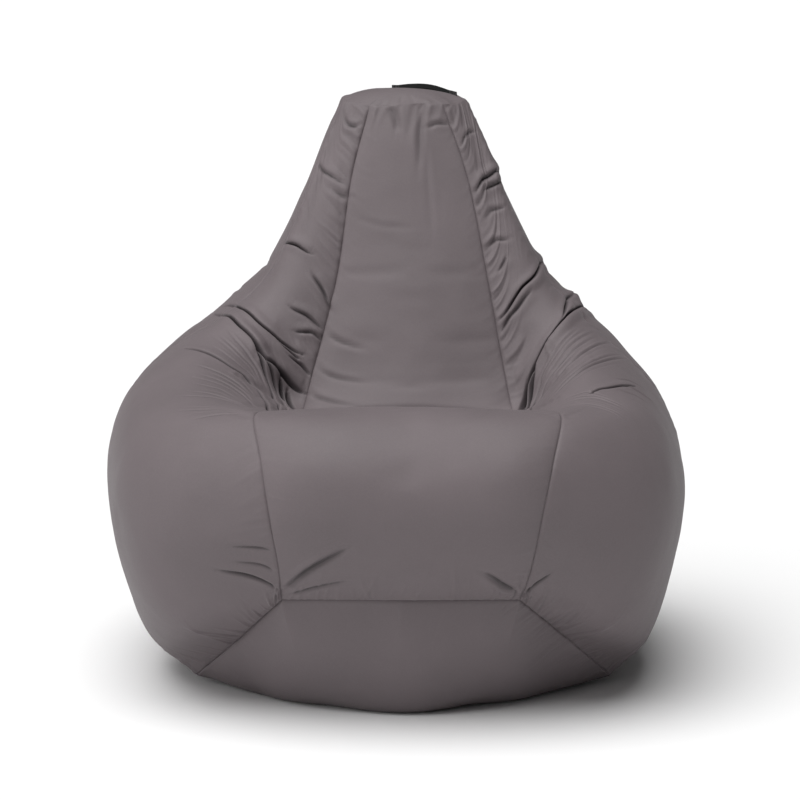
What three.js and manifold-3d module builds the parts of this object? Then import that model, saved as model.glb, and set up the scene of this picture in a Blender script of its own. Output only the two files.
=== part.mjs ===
// Pear-shaped bean bag chair: a six-gore cover with a zip and a carry strap, a non-woven liner, and beads.
// Units are millimetres. +Z is up, the seat faces -Y, and the origin is on the floor under the middle.
import * as THREE from 'three';
import { mergeVertices } from 'three/addons/utils/BufferGeometryUtils.js';
import Module from 'manifold-3d';

const wasm = await Module();
wasm.setup();

// ---- Layers, from the outside in -------------------------------------------------------------
const COVER_THICKNESS = 1.5;
const LINER_THICKNESS = 0.8;
const LAYER_GAP = 0.4;
const SEAM_GAP = 0.4;
const LINER_DEPTH = COVER_THICKNESS + LAYER_GAP;
const FILLING_DEPTH = LINER_DEPTH + LINER_THICKNESS + LAYER_GAP;

// ---- Outline: one profile per meridian, each with eleven rows from the base seam to the cap seam ----
// The profiles are for the +X half. Angles run from the front (0) by the side (90) to the back (180).
const LAST_ROW = 10;
const FRONT = [
  [0, -372, 190], [0, -423, 245], [0, -447, 320], [0, -430, 400], [0, -352, 458], [0, -240, 438],
  [0, -90, 390], [0, -10, 435], [0, 72, 590], [0, 142, 740], [0, 196, 852],
];
const FRONT_SEAM = [
  [170, -352, 186], [178, -402, 245], [190, -425, 320], [205, -405, 400], [217, -335, 452], [195, -220, 435],
  [163, -68, 402], [150, 12, 445], [118, 90, 590], [92, 153, 740], [58, 201, 852],
];
const ARM = [
  [243, -242, 100], [325, -285, 135], [375, -298, 235], [390, -272, 345], [368, -210, 430], [312, -120, 475],
  [255, -22, 492], [208, 48, 530], [160, 112, 635], [122, 170, 752], [85, 218, 855],
];
const SIDE = [
  [316, -130, 13], [386, -64, 64], [425, -5, 180], [441, 35, 300], [422, 60, 405], [368, 80, 478],
  [293, 102, 530], [224, 130, 590], [169, 160, 690], [132, 200, 785], [98, 243, 859],
];
const HIP = [
  [262, 29, 6], [335, 132, 53], [373, 217, 157], [387, 256, 279], [370, 267, 389], [323, 265, 472],
  [259, 270, 538], [200, 278, 608], [150, 280, 706], [117, 278, 796], [86, 271, 862],
];
// The back seams are straight from row 3 to row 9, so that a zip can run in one of them.
const STRAIGHT_FIRST_ROW = 3;
const STRAIGHT_LAST_ROW = 9;
const STRAIGHT_LOW = [235, 405, 262];
const STRAIGHT_HIGH = [80, 300, 815];
const BACK_SEAM = [
  [167, 126, 0], [203, 256, 18], [230, 365, 118], ...straightStretch(), [52, 285, 868],
];
const BACK = [
  [0, 160, 0], [0, 300, 2], [0, 412, 90], [0, 450, 215], [0, 449, 340], [0, 428, 455],
  [0, 399, 560], [0, 370, 660], [0, 341, 755], [0, 317, 830], [0, 288, 871],
];
// The filled bag leans a little to +X, row by row, and its +X shoulder has settled lower.
const FRONT_SWAY = [6, 12, 13, 15, 16, 16, 17, 18, 24, 20, 15];
const SIDE_SWAY = [12, 8, 4, 0, 0, 8, 18, 18, 14, 13, 12];
const BACK_SWAY = 8;
const SHOULDER_SETTLE = [-4, -6, -4, 0, -8, -26, -20, -5, 0, 0, 0];
const CORNERED_ROWS = 0.9; // the base seam runs straight from corner to corner, and the bag is round above this row

// ---- Base and cap ------------------------------------------------------------------------------
const BASE_CENTRE = new THREE.Vector3(8, -60, 0);
// Share of the base's radius that lies flat on the floor, at each meridian from the front to the back.
const BASE_CONTACT = [0.7, 0.6, 0.78, 0.78, 0.7, 0.68, 0.7];
const BASE_BULGE = 1.8; // power of the curve by which the rest of the base rises to its seam
const BASE_RINGS = [0, 0.35, 0.6, 0.7, 0.78, 0.86, 0.93, 1];
const CAP_DOME = 14; // height of the cap's middle above the mean of its seam
const CAP_RINGS = [1, 0.85, 0.6, 0.3, 0];

// ---- Mesh grid ---------------------------------------------------------------------------------
const GORE_ANGLE = 60;
const COLUMNS_PER_GORE = 4;
const ZIP_ANGLE = 150;
const ZIP_FIRST_ROW = 4;
const ZIP_LAST_ROW = 8;
const ZIP_END_STEP = 0.08;
const ROWS = [
  0, 0.5, 1, 1.5, 2, 2.5, 3, 3.5, ZIP_FIRST_ROW - ZIP_END_STEP, ZIP_FIRST_ROW, 4.5, 5, 5.5, 6, 6.5, 7, 7.5,
  ZIP_LAST_ROW, ZIP_LAST_ROW + ZIP_END_STEP, 9, LAST_ROW,
];

// ---- Zip, in its own frame: X across, Y up along the seam, Z outward from the cover's outer face ----
const SLOT_HALF_WIDTH = 6;
const ZIP_POCKET = 5.5; // how far the liner gives way behind the zip
const TAPE = { inner: 0.7, outer: 13, low: -3.9, high: -3.3, overrun: 4 };
const COIL = { inner: 0.7, outer: 3.2, low: -3, high: -0.5 };
const CLEARANCE = 0.3;
const CHAIN_INSET = 2; // from each end of the slot to the coils
const STOP = { start: 5, length: 3, wall: 0.5 };
const SLIDER = { length: 12, halfWidth: 4.4, postHalf: 0.4, top: 1, plate: 1.2 };
const SLIDER_START = 16; // the slider's middle when the zip is closed
const ARCH = { halfLength: 3.2, rise: 3.4, wall: 1.1, halfWidth: 1.1, sink: 0.4 };
const PULL = {
  pivot: 1.15, bar: 1.1, halfWidth: 3.4, eyeHalf: 1.6, eyeLength: 4.6, length: 26, thickness: 1.1, corner: 2,
};

// ---- Carry strap across the cap: hand-set runs in the X-Z plane ----------------------------------
const STRAP = { y: 260, halfWidth: 13, thickness: 1.6 };
const STRAP_LEFT_RUN = [[-8, 874.4], [2, 874.6], [5, 876.2]];
const STRAP_LOOP_RUN = [
  [5.6, 876.7], [11, 879], [20, 880], [34, 880], [47, 879.4], [60, 876.6], [72, 871.8], [80, 868.1],
];
const STRAP_RIGHT_RUN = [[80.6, 867.8], [86, 866.3], [96, 863.9]];

const COLOUR = {
  cover: 0x766c6f, base: 0x6b6164, liner: 0xe9e8e4, beads: 0xf4f4f2,
  strap: 0x1b1a1c, tape: 0x4c4648, coil: 0x5b5457, metal: 0x8d8c8f,
};

function straightStretch() {
  const rows = STRAIGHT_LAST_ROW - STRAIGHT_FIRST_ROW;
  return Array.from({ length: rows + 1 }, (_, k) =>
    STRAIGHT_LOW.map((low, axis) => THREE.MathUtils.lerp(low, STRAIGHT_HIGH[axis], k / rows)));
}

function meridian(profile, side, sway) {
  const points = profile.map(([x, y, z], row) => new THREE.Vector3(side * x + sway(row), y, z));
  return new THREE.CatmullRomCurve3(points, false, 'catmullrom', 0.5);
}

function meridians() {
  const front = (row) => FRONT_SWAY[row];
  const left = (row) => SIDE_SWAY[row];
  const right = (row) => SIDE_SWAY[row] + SHOULDER_SETTLE[row];
  const back = () => BACK_SWAY;
  return [
    meridian(FRONT, 1, front), meridian(FRONT_SEAM, 1, front), meridian(ARM, 1, right),
    meridian(SIDE, 1, right), meridian(HIP, 1, back), meridian(BACK_SEAM, 1, back),
    meridian(BACK, 1, back), meridian(BACK_SEAM, -1, back), meridian(HIP, -1, back),
    meridian(SIDE, -1, left), meridian(ARM, -1, left), meridian(FRONT_SEAM, -1, front),
  ];
}

const MERIDIANS = meridians();

// ---- The bag's outer surface ---------------------------------------------------------------------
function gorePoint(angle, row) {
  const ring = MERIDIANS.map((curve) => curve.getPoint(row / LAST_ROW));
  const turn = (angle / 360) % 1;
  const step = Math.floor(turn * ring.length);
  const straight = ring[step].clone().lerp(ring[(step + 1) % ring.length], turn * ring.length - step);
  const round = new THREE.CatmullRomCurve3(ring, true, 'catmullrom', 0.5).getPoint(turn);
  const point = straight.lerp(round, THREE.MathUtils.smoothstep(row, 0, CORNERED_ROWS));
  point.z = Math.max(point.z, 0);
  return point;
}

const CONTACT_RING = new THREE.CatmullRomCurve3(
  [...BASE_CONTACT, ...BASE_CONTACT.slice(1, -1).reverse()].map((share) => new THREE.Vector3(share)),
  true, 'catmullrom', 0.5,
);

function basePoint(angle, radius) {
  const edge = gorePoint(angle, 0);
  const point = BASE_CENTRE.clone().lerp(edge, radius);
  const contact = CONTACT_RING.getPoint((angle / 360) % 1).x;
  const rise = Math.max((radius - contact) / (1 - contact), 0);
  point.z = edge.z * rise ** BASE_BULGE;
  return point;
}

const CAP_CENTRE = capCentre();

function capCentre() {
  const centre = new THREE.Vector3();
  const ring = MERIDIANS.map((curve) => curve.getPoint(1));
  ring.forEach((point) => centre.addScaledVector(point, 1 / ring.length));
  centre.z += CAP_DOME;
  return centre;
}

function capPoint(angle, radius) {
  const edge = gorePoint(angle, LAST_ROW);
  const point = CAP_CENTRE.clone().lerp(edge, radius);
  point.z = THREE.MathUtils.lerp(CAP_CENTRE.z, edge.z, radius * radius);
  return point;
}

// Unit normal of a surface point(angle, other), with other kept between low and high.
function normalOf(point, angle, other, low, high, flip) {
  const step = 0.02 * (high - low);
  const acrossDirection = point(angle + 361, other).sub(point(angle + 359, other));
  const above = point(angle, Math.min(other + step, high));
  const alongDirection = above.sub(point(angle, Math.max(other - step, low)));
  return acrossDirection.cross(alongDirection).normalize().multiplyScalar(flip);
}

const goreNormal = (angle, row) => normalOf(gorePoint, angle, row, 0, LAST_ROW, 1);

function baseNormal(angle, radius) {
  return radius === 0 ? new THREE.Vector3(0, 0, -1) : normalOf(basePoint, angle, radius, 0, 1, 1);
}

function capNormal(angle, radius) {
  return radius === 0 ? new THREE.Vector3(0, 0, 1) : normalOf(capPoint, angle, radius, 0, 1, -1);
}

// On the base and cap seams both neighbours share one mitred normal, so that their layers meet.
function mitre(first, second) {
  const middle = first.clone().add(second).normalize();
  return middle.multiplyScalar(1 / middle.dot(first));
}

const baseSeamNormal = (angle) => mitre(goreNormal(angle, 0), baseNormal(angle, 1));
const capSeamNormal = (angle) => mitre(goreNormal(angle, LAST_ROW), capNormal(angle, 1));

// Inner layers keep clear of the zip's slider behind the zip's own stretch of seam.
function pocketDepth(angle, row, pocket) {
  const onZip = row >= ZIP_FIRST_ROW - ZIP_END_STEP && row <= ZIP_LAST_ROW + ZIP_END_STEP;
  return angle % 360 === ZIP_ANGLE && onZip ? pocket : 0;
}

function goreLayerPoint(angle, row, depth, pocket) {
  let normal = goreNormal(angle, row);
  if (row === 0) normal = baseSeamNormal(angle);
  if (row === LAST_ROW) normal = capSeamNormal(angle);
  return gorePoint(angle, row).addScaledVector(normal, -depth - pocketDepth(angle, row, pocket));
}

function baseLayerPoint(angle, radius, depth) {
  const normal = radius === 1 ? baseSeamNormal(angle) : baseNormal(angle, radius);
  return basePoint(angle, radius).addScaledVector(normal, -depth);
}

function capLayerPoint(angle, radius, depth) {
  const normal = radius === 1 ? capSeamNormal(angle) : capNormal(angle, radius);
  return capPoint(angle, radius).addScaledVector(normal, -depth);
}

// ---- Grids of points, [column][row], and closed bodies made from them ----------------------------
function columnAngles(start, sweep) {
  const count = (COLUMNS_PER_GORE * sweep) / GORE_ANGLE;
  return Array.from({ length: count + 1 }, (_, k) => start + (k * sweep) / count);
}

const goreGrid = (start, sweep, depth, pocket) =>
  columnAngles(start, sweep).map((angle) => ROWS.map((row) => goreLayerPoint(angle, row, depth, pocket)));
const baseGrid = (depth) =>
  columnAngles(0, 360).map((angle) => BASE_RINGS.map((radius) => baseLayerPoint(angle, radius, depth)));
const capGrid = (depth) =>
  columnAngles(0, 360).map((angle) => CAP_RINGS.map((radius) => capLayerPoint(angle, radius, depth)));

function moveToward(point, target, distance) {
  point.add(target.clone().sub(point).setLength(distance));
}

// Draws a gore's edges in by half a seam gap, and by the slot's half width along the zip.
function trimGore(grid, start, slotted) {
  const last = grid.length - 1;
  const edgeGap = (angle, row) => {
    const onSlot = slotted && angle === ZIP_ANGLE && row >= ZIP_FIRST_ROW && row <= ZIP_LAST_ROW;
    return onSlot ? SLOT_HALF_WIDTH : SEAM_GAP / 2;
  };
  ROWS.forEach((row, j) => {
    moveToward(grid[0][j], grid[1][j], edgeGap(start % 360, row));
    moveToward(grid[last][j], grid[last - 1][j], edgeGap((start + GORE_ANGLE) % 360, row));
  });
  grid.forEach((column) => {
    moveToward(column[0], column[1], SEAM_GAP / 2);
    moveToward(column.at(-1), column.at(-2), SEAM_GAP / 2);
  });
  return grid;
}

const trimBase = (grid) => {
  grid.forEach((column) => moveToward(column.at(-1), column.at(-2), SEAM_GAP / 2));
  return grid;
};
const trimCap = (grid) => {
  grid.forEach((column) => moveToward(column[0], column[1], SEAM_GAP / 2));
  return grid;
};

function addTriangle(triangles, a, b, c) {
  const flat = a.distanceTo(b) < 1e-3 || b.distanceTo(c) < 1e-3 || c.distanceTo(a) < 1e-3;
  if (!flat) triangles.push(a, b, c);
}

function addQuad(triangles, a, b, c, d) {
  addTriangle(triangles, a, b, c);
  addTriangle(triangles, a, c, d);
}

// Both faces of a sheet use the same diagonals, so that layers nest without touching.
function addSheet(triangles, grid, facesIn = false) {
  for (let i = 0; i + 1 < grid.length; i += 1) {
    for (let j = 0; j + 1 < grid[i].length; j += 1) {
      const corners = [grid[i][j], grid[i + 1][j], grid[i + 1][j + 1], grid[i][j + 1]];
      if (facesIn) corners.push(...corners.splice(1).reverse());
      addQuad(triangles, ...corners);
    }
  }
}

function addRim(triangles, outer, inner) {
  for (let k = 0; k + 1 < outer.length; k += 1) {
    addQuad(triangles, outer[k], inner[k], inner[k + 1], outer[k + 1]);
  }
}

function toGeometry(triangles) {
  const geometry = new THREE.BufferGeometry().setFromPoints(triangles);
  return mergeVertices(geometry, 1e-3);
}

// A shell between an outer and an inner grid. A grid that runs all the way round has no end rims.
function shell(outer, inner, closedRound) {
  const triangles = [];
  addSheet(triangles, outer);
  addSheet(triangles, inner, true);
  const edge = (grid, row) => grid.map((column) => column.at(row));
  addRim(triangles, edge(outer, 0), edge(inner, 0));
  addRim(triangles, edge(outer, -1).reverse(), edge(inner, -1).reverse());
  if (!closedRound) {
    addRim(triangles, [...outer[0]].reverse(), [...inner[0]].reverse());
    addRim(triangles, outer.at(-1), inner.at(-1));
  }
  return toGeometry(triangles);
}

function fillingGeometry() {
  const triangles = [];
  addSheet(triangles, baseGrid(FILLING_DEPTH));
  addSheet(triangles, goreGrid(0, 360, FILLING_DEPTH, ZIP_POCKET));
  addSheet(triangles, capGrid(FILLING_DEPTH));
  return toGeometry(triangles);
}

// ---- Meshes ----------------------------------------------------------------------------------------
function mesh(name, geometry, color, roughness, metalness = 0) {
  const material = new THREE.MeshStandardMaterial({ color, roughness, metalness });
  const result = new THREE.Mesh(geometry, material);
  result.name = name;
  return result;
}

// Each gore's place and its first angle, all positive.
const GORES = [
  ['front', 330], ['front_right', 390], ['back_right', 450],
  ['back', 510], ['back_left', 570], ['front_left', 630],
];

// A layer's eight panels. The outermost layer has no pocket behind the zip but an open slot for it.
function layer(prefix, depth, thickness, pocket, colours, roughness) {
  const group = new THREE.Group();
  const slotted = pocket === 0;
  const gore = (start, at) => trimGore(goreGrid(start, GORE_ANGLE, at, pocket), start, slotted);
  const inside = depth + thickness;
  GORES.forEach(([place, start]) => {
    const geometry = shell(gore(start, depth), gore(start, inside), false);
    group.add(mesh(`${prefix}_gore_${place}`, geometry, colours.side, roughness));
  });
  const base = shell(trimBase(baseGrid(depth)), trimBase(baseGrid(inside)), true);
  const cap = shell(trimCap(capGrid(depth)), trimCap(capGrid(inside)), true);
  group.add(mesh(`${prefix}_base_panel`, base, colours.base, roughness));
  group.add(mesh(`${prefix}_top_cap`, cap, colours.side, roughness));
  return group;
}

// ---- Prisms: an outline in one plane, carried along the third axis ----------------------------------
function outline(points) {
  return new THREE.Shape(points.map(([x, y]) => new THREE.Vector2(x, y)));
}

// An outline in X-Z carried along Y from y0 to y1.
function prismAlongY(points, y0, y1) {
  const geometry = new THREE.ExtrudeGeometry(outline(points), { depth: y1 - y0, bevelEnabled: false });
  return geometry.rotateX(Math.PI / 2).translate(0, y1, 0);
}

function rectangle(x0, x1, z0, z1) {
  return [[x0, z0], [x1, z0], [x1, z1], [x0, z1]];
}

function mirrored(points) {
  return points.map(([x, z]) => [-x, z]).reverse();
}

// ---- Zip -----------------------------------------------------------------------------------------
function zipFrame() {
  const start = gorePoint(ZIP_ANGLE, ZIP_FIRST_ROW);
  const end = gorePoint(ZIP_ANGLE, ZIP_LAST_ROW);
  const along = end.clone().sub(start);
  const length = along.length();
  along.normalize();
  const outward = goreNormal(ZIP_ANGLE, (ZIP_FIRST_ROW + ZIP_LAST_ROW) / 2);
  outward.addScaledVector(along, -outward.dot(along)).normalize();
  const across = along.clone().cross(outward);
  return { start, length, basis: new THREE.Matrix4().makeBasis(across, along, outward) };
}

// Over one chain: a bridge with a leg on the chain's outer side.
function topStopOutline() {
  const bridge = COIL.high + CLEARANCE;
  const leg = COIL.outer + CLEARANCE;
  return [
    [COIL.inner, bridge], [leg, bridge], [leg, COIL.low], [leg + STOP.wall, COIL.low],
    [leg + STOP.wall, bridge + STOP.wall], [COIL.inner, bridge + STOP.wall],
  ];
}

// Over both chains: a staple with a leg on each side.
function bottomStopOutline() {
  const half = topStopOutline().slice(1, -1);
  return [...mirrored(half), ...half];
}

// Two plates, above the coils and under the tapes, joined by a post between the tapes.
function sliderOutline() {
  const { halfWidth, postHalf, top, plate } = SLIDER;
  const over = TAPE.low - CLEARANCE;
  const right = [
    [halfWidth, over - plate], [halfWidth, over], [postHalf, over],
    [postHalf, top - plate], [halfWidth, top - plate], [halfWidth, top],
  ];
  return [...right, ...mirrored(right)];
}

// The bridge on the slider, which the pull's bar passes under: an outline in Y-Z.
function archOutline() {
  const { halfLength, rise, wall } = ARCH;
  const foot = SLIDER.top - ARCH.sink;
  const roof = SLIDER.top + rise;
  return [
    [-halfLength, foot], [-halfLength + wall, foot], [-halfLength + wall, roof - wall],
    [halfLength - wall, roof - wall], [halfLength - wall, foot], [halfLength, foot],
    [halfLength, roof], [-halfLength, roof],
  ];
}
function solid(geometry) {
  const bare = geometry.clone();
  bare.deleteAttribute('normal');
  bare.deleteAttribute('uv');
  const merged = mergeVertices(bare, 1e-3);
  return new wasm.Manifold(new wasm.Mesh({
    numProp: 3, vertProperties: new Float32Array(merged.attributes.position.array),
    triVerts: new Uint32Array(merged.index.array),
  }));
}

function fromSolid(body) {
  const { vertProperties, triVerts } = body.getMesh();
  const geometry = new THREE.BufferGeometry();
  geometry.setAttribute('position', new THREE.BufferAttribute(vertProperties, 3));
  geometry.setIndex(new THREE.BufferAttribute(triVerts, 1));
  return geometry;
}

function sliderGeometry() {
  const plates = prismAlongY(sliderOutline(), -SLIDER.length / 2, SLIDER.length / 2);
  const arch = prismAlongY(archOutline(), -ARCH.halfWidth, ARCH.halfWidth).rotateZ(Math.PI / 2);
  return fromSolid(solid(plates).add(solid(arch)));
}

// A flat tab with an eye at its top, whose bar is the hinge. It hangs toward -Y from the bar's middle.
function pullGeometry() {
  const { bar, halfWidth, eyeHalf, eyeLength, length, thickness, corner } = PULL;
  const tab = outline([
    [-halfWidth, bar / 2], [-halfWidth, corner - length], [corner - halfWidth, -length],
    [halfWidth - corner, -length], [halfWidth, corner - length], [halfWidth, bar / 2],
  ]);
  tab.holes.push(outline([
    [-eyeHalf, -bar / 2], [eyeHalf, -bar / 2],
    [eyeHalf, -bar / 2 - eyeLength], [-eyeHalf, -bar / 2 - eyeLength],
  ]));
  return new THREE.ExtrudeGeometry(tab, { depth: thickness, bevelEnabled: false })
    .translate(0, SLIDER_START, SLIDER.top + PULL.pivot - thickness / 2);
}

function zipSide(side, place, length) {
  const tape = place(rectangle(TAPE.inner, TAPE.outer, TAPE.low, TAPE.high));
  const coil = place(rectangle(COIL.inner, COIL.outer, COIL.low, COIL.high));
  const stop = prismAlongY(place(topStopOutline()), STOP.start, STOP.start + STOP.length);
  return [
    mesh(`zip_tape_${side}`, prismAlongY(tape, -TAPE.overrun, length + TAPE.overrun), COLOUR.tape, 0.9),
    mesh(`zip_coil_${side}`, prismAlongY(coil, CHAIN_INSET, length - CHAIN_INSET), COLOUR.coil, 0.5),
    mesh(`zip_top_stop_${side}`, stop, COLOUR.metal, 0.4, 0.9),
  ];
}

function zip() {
  const frame = zipFrame();
  const group = new THREE.Group();
  group.position.copy(frame.start);
  group.quaternion.setFromRotationMatrix(frame.basis);
  const stopEnd = frame.length - STOP.start;
  const bottomStop = prismAlongY(bottomStopOutline(), stopEnd - STOP.length, stopEnd);
  const slider = sliderGeometry().translate(0, SLIDER_START, 0);
  group.add(
    ...zipSide('right', (points) => points, frame.length),
    ...zipSide('left', mirrored, frame.length),
    mesh('zip_bottom_stop', bottomStop, COLOUR.metal, 0.4, 0.9),
    mesh('zip_slider', slider, COLOUR.metal, 0.35, 0.9),
    mesh('zip_pull', pullGeometry(), COLOUR.metal, 0.35, 0.9),
  );
  return group;
}

// ---- Carry strap: each run of webbing is an outline in X-Z, as thick as the webbing -----------------
function webbing(name, run) {
  const path = run.map(([x, z]) => new THREE.Vector2(x, z));
  const normals = path.map((_, k) => {
    const along = path[Math.min(k + 1, path.length - 1)].clone().sub(path[Math.max(k - 1, 0)]).normalize();
    return new THREE.Vector2(-along.y, along.x);
  });
  const offset = (k, distance) => path[k].clone().addScaledVector(normals[k], distance).toArray();
  const lower = path.map((_, k) => offset(k, -STRAP.thickness / 2));
  const upper = path.map((_, k) => offset(k, STRAP.thickness / 2)).reverse();
  const geometry = prismAlongY([...lower, ...upper], STRAP.y - STRAP.halfWidth, STRAP.y + STRAP.halfWidth);
  return mesh(name, geometry, COLOUR.strap, 0.85);
}

const COVER_COLOURS = { side: COLOUR.cover, base: COLOUR.base };
const LINER_COLOURS = { side: COLOUR.liner, base: COLOUR.liner };

const beanBag = new THREE.Group();
beanBag.name = 'bean_bag_chair';
beanBag.add(
  layer('cover', 0, COVER_THICKNESS, 0, COVER_COLOURS, 0.75),
  layer('liner', LINER_DEPTH, LINER_THICKNESS, ZIP_POCKET, LINER_COLOURS, 0.9),
  mesh('bead_filling', fillingGeometry(), COLOUR.beads, 0.95),
  zip(),
  webbing('handle_end_left', STRAP_LEFT_RUN),
  webbing('handle_loop', STRAP_LOOP_RUN),
  webbing('handle_end_right', STRAP_RIGHT_RUN),
);

export default beanBag;
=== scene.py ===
import math

import bmesh
import bpy
import numpy as np
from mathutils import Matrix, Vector


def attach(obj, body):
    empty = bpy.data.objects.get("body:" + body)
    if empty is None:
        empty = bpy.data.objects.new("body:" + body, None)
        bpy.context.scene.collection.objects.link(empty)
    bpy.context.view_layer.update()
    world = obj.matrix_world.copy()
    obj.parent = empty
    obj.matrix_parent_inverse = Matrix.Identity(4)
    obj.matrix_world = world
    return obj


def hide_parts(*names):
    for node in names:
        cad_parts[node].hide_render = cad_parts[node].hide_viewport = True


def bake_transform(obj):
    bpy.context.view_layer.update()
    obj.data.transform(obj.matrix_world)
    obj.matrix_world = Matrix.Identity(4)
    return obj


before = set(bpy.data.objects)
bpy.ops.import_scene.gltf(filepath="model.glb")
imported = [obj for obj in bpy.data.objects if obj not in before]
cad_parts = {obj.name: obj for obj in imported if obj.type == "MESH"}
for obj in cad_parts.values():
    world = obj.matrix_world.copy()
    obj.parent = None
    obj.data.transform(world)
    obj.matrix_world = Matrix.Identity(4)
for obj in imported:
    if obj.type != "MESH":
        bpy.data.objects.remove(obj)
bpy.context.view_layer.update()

# A pear-shaped bean bag chair: a sewn cover over a liner full of beads, with a strap on top and a zip behind.
MM = 0.001


def add_object(name, data):
    made = bpy.data.objects.new(name, data)
    bpy.context.scene.collection.objects.link(made)
    return made


# ---- Camera ----
CAMERA_ELEVATION = math.radians(10)
CAMERA_DISTANCE = 4.2
CAMERA_TARGET = Vector((0.005, 0, 0.414))
CAMERA_LENS = 123.2


def make_camera():
    data = bpy.data.cameras.new("camera")
    data.lens = CAMERA_LENS
    camera = add_object("camera", data)
    back = Vector((0, -math.cos(CAMERA_ELEVATION), math.sin(CAMERA_ELEVATION)))
    camera.location = CAMERA_TARGET + back * CAMERA_DISTANCE
    camera.rotation_euler = (math.pi / 2 - CAMERA_ELEVATION, 0, 0)
    bpy.context.scene.camera = camera


make_camera()

# ---- The bag's outline, as in the CAD source: a profile for each meridian, in millimetres ----
FRONT = [
    (0, -372, 190), (0, -423, 245), (0, -447, 320), (0, -430, 400), (0, -352, 458), (0, -240, 438),
    (0, -90, 390), (0, -10, 435), (0, 72, 590), (0, 142, 740), (0, 196, 852),
]
FRONT_SEAM = [
    (170, -352, 186), (178, -402, 245), (190, -425, 320), (205, -405, 400), (217, -335, 452),
    (195, -220, 435), (163, -68, 402), (150, 12, 445), (118, 90, 590), (92, 153, 740), (58, 201, 852),
]
ARM = [
    (243, -242, 100), (325, -285, 135), (375, -298, 235), (390, -272, 345), (368, -210, 430),
    (312, -120, 475), (255, -22, 492), (208, 48, 530), (160, 112, 635), (122, 170, 752), (85, 218, 855),
]
SIDE = [
    (316, -130, 13), (386, -64, 64), (425, -5, 180), (441, 35, 300), (422, 60, 405), (368, 80, 478),
    (293, 102, 530), (224, 130, 590), (169, 160, 690), (132, 200, 785), (98, 243, 859),
]
HIP = [
    (262, 29, 6), (335, 132, 53), (373, 217, 157), (387, 256, 279), (370, 267, 389), (323, 265, 472),
    (259, 270, 538), (200, 278, 608), (150, 280, 706), (117, 278, 796), (86, 271, 862),
]
STRAIGHT_LOW, STRAIGHT_HIGH, STRAIGHT_STEPS = (235, 405, 262), (80, 300, 815), 6
STRAIGHT = [
    tuple(a + (b - a) * k / STRAIGHT_STEPS for a, b in zip(STRAIGHT_LOW, STRAIGHT_HIGH))
    for k in range(STRAIGHT_STEPS + 1)
]
BACK_SEAM = [(167, 126, 0), (203, 256, 18), (230, 365, 118), *STRAIGHT, (52, 285, 868)]
BACK = [
    (0, 160, 0), (0, 300, 2), (0, 412, 90), (0, 450, 215), (0, 449, 340), (0, 428, 455),
    (0, 399, 560), (0, 370, 660), (0, 341, 755), (0, 317, 830), (0, 288, 871),
]
FRONT_SWAY = [6, 12, 13, 15, 16, 16, 17, 18, 24, 20, 15]
SIDE_SWAY = [12, 8, 4, 0, 0, 8, 18, 18, 14, 13, 12]
BACK_SWAY = [8] * 11
SHOULDER_SETTLE = [-4, -6, -4, 0, -8, -26, -20, -5, 0, 0, 0]
RIGHT_SWAY = [a + b for a, b in zip(SIDE_SWAY, SHOULDER_SETTLE)]
LAST_ROW = 10
BASE_CENTRE = np.array((8, -60, 0)) * MM
BASE_CONTACT, BASE_BULGE = [0.7, 0.6, 0.78, 0.78, 0.7, 0.68, 0.7], 1.8
CORNERED_ROWS, BASE_ROUND = 0.9, 0.87
CAP_DOME = 14 * MM


def meridian(profile, side, sway):
    points = np.array(profile, float)
    points[:, 0] = side * points[:, 0] + np.array(sway)
    return points * MM


NET = np.array([
    meridian(FRONT, 1, FRONT_SWAY), meridian(FRONT_SEAM, 1, FRONT_SWAY), meridian(ARM, 1, RIGHT_SWAY),
    meridian(SIDE, 1, RIGHT_SWAY), meridian(HIP, 1, BACK_SWAY), meridian(BACK_SEAM, 1, BACK_SWAY),
    meridian(BACK, 1, BACK_SWAY), meridian(BACK_SEAM, -1, BACK_SWAY), meridian(HIP, -1, BACK_SWAY),
    meridian(SIDE, -1, SIDE_SWAY), meridian(ARM, -1, SIDE_SWAY), meridian(FRONT_SEAM, -1, FRONT_SWAY),
])


def smooth_step(share):
    return share**2 * (3 - 2 * share)


def bell(x):
    return np.exp(-(x**2))


def fade(x):
    return np.exp(-x)


def window(x, low, high, ease):
    """1 well inside low to high and 0 outside, with straight flanks of length ease."""
    return np.clip((x - low) / ease, 0, 1) * np.clip((high - x) / ease, 0, 1)


def catmull_rom(p0, p1, p2, p3, t):
    linear = 2 * p1 + (p2 - p0) * t
    return 0.5 * (linear + (2 * p0 - 5 * p1 + 4 * p2 - p3) * t**2 + (3 * p1 - p0 - 3 * p2 + p3) * t**3)


def up_through(net, rows):
    """Smooth lines up a net of points, sampled at rows."""
    before, after = 2 * net[:, :1] - net[:, 1:2], 2 * net[:, -1:] - net[:, -2:-1]
    longer = np.concatenate([before, net, after], 1)
    j = np.clip(np.floor(rows).astype(int), 0, net.shape[1] - 2)
    return catmull_rom(*(longer[:, j + k] for k in range(4)), (rows - j)[None, :, None])


def smooth_path(corners, count):
    """count points along a smooth line through corners."""
    corners = np.array(corners, float)
    return up_through(corners[None], np.linspace(0, len(corners) - 1, count))[0]


def around_through(lines, turn):
    """Smooth rings round a net that closes on itself, sampled at turn, which counts the net's own steps."""
    i = np.floor(turn).astype(int)
    near = [lines[(i + k) % len(lines)] for k in (-1, 0, 1, 2)]
    return catmull_rom(*near, (turn - i)[:, None, None])


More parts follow.
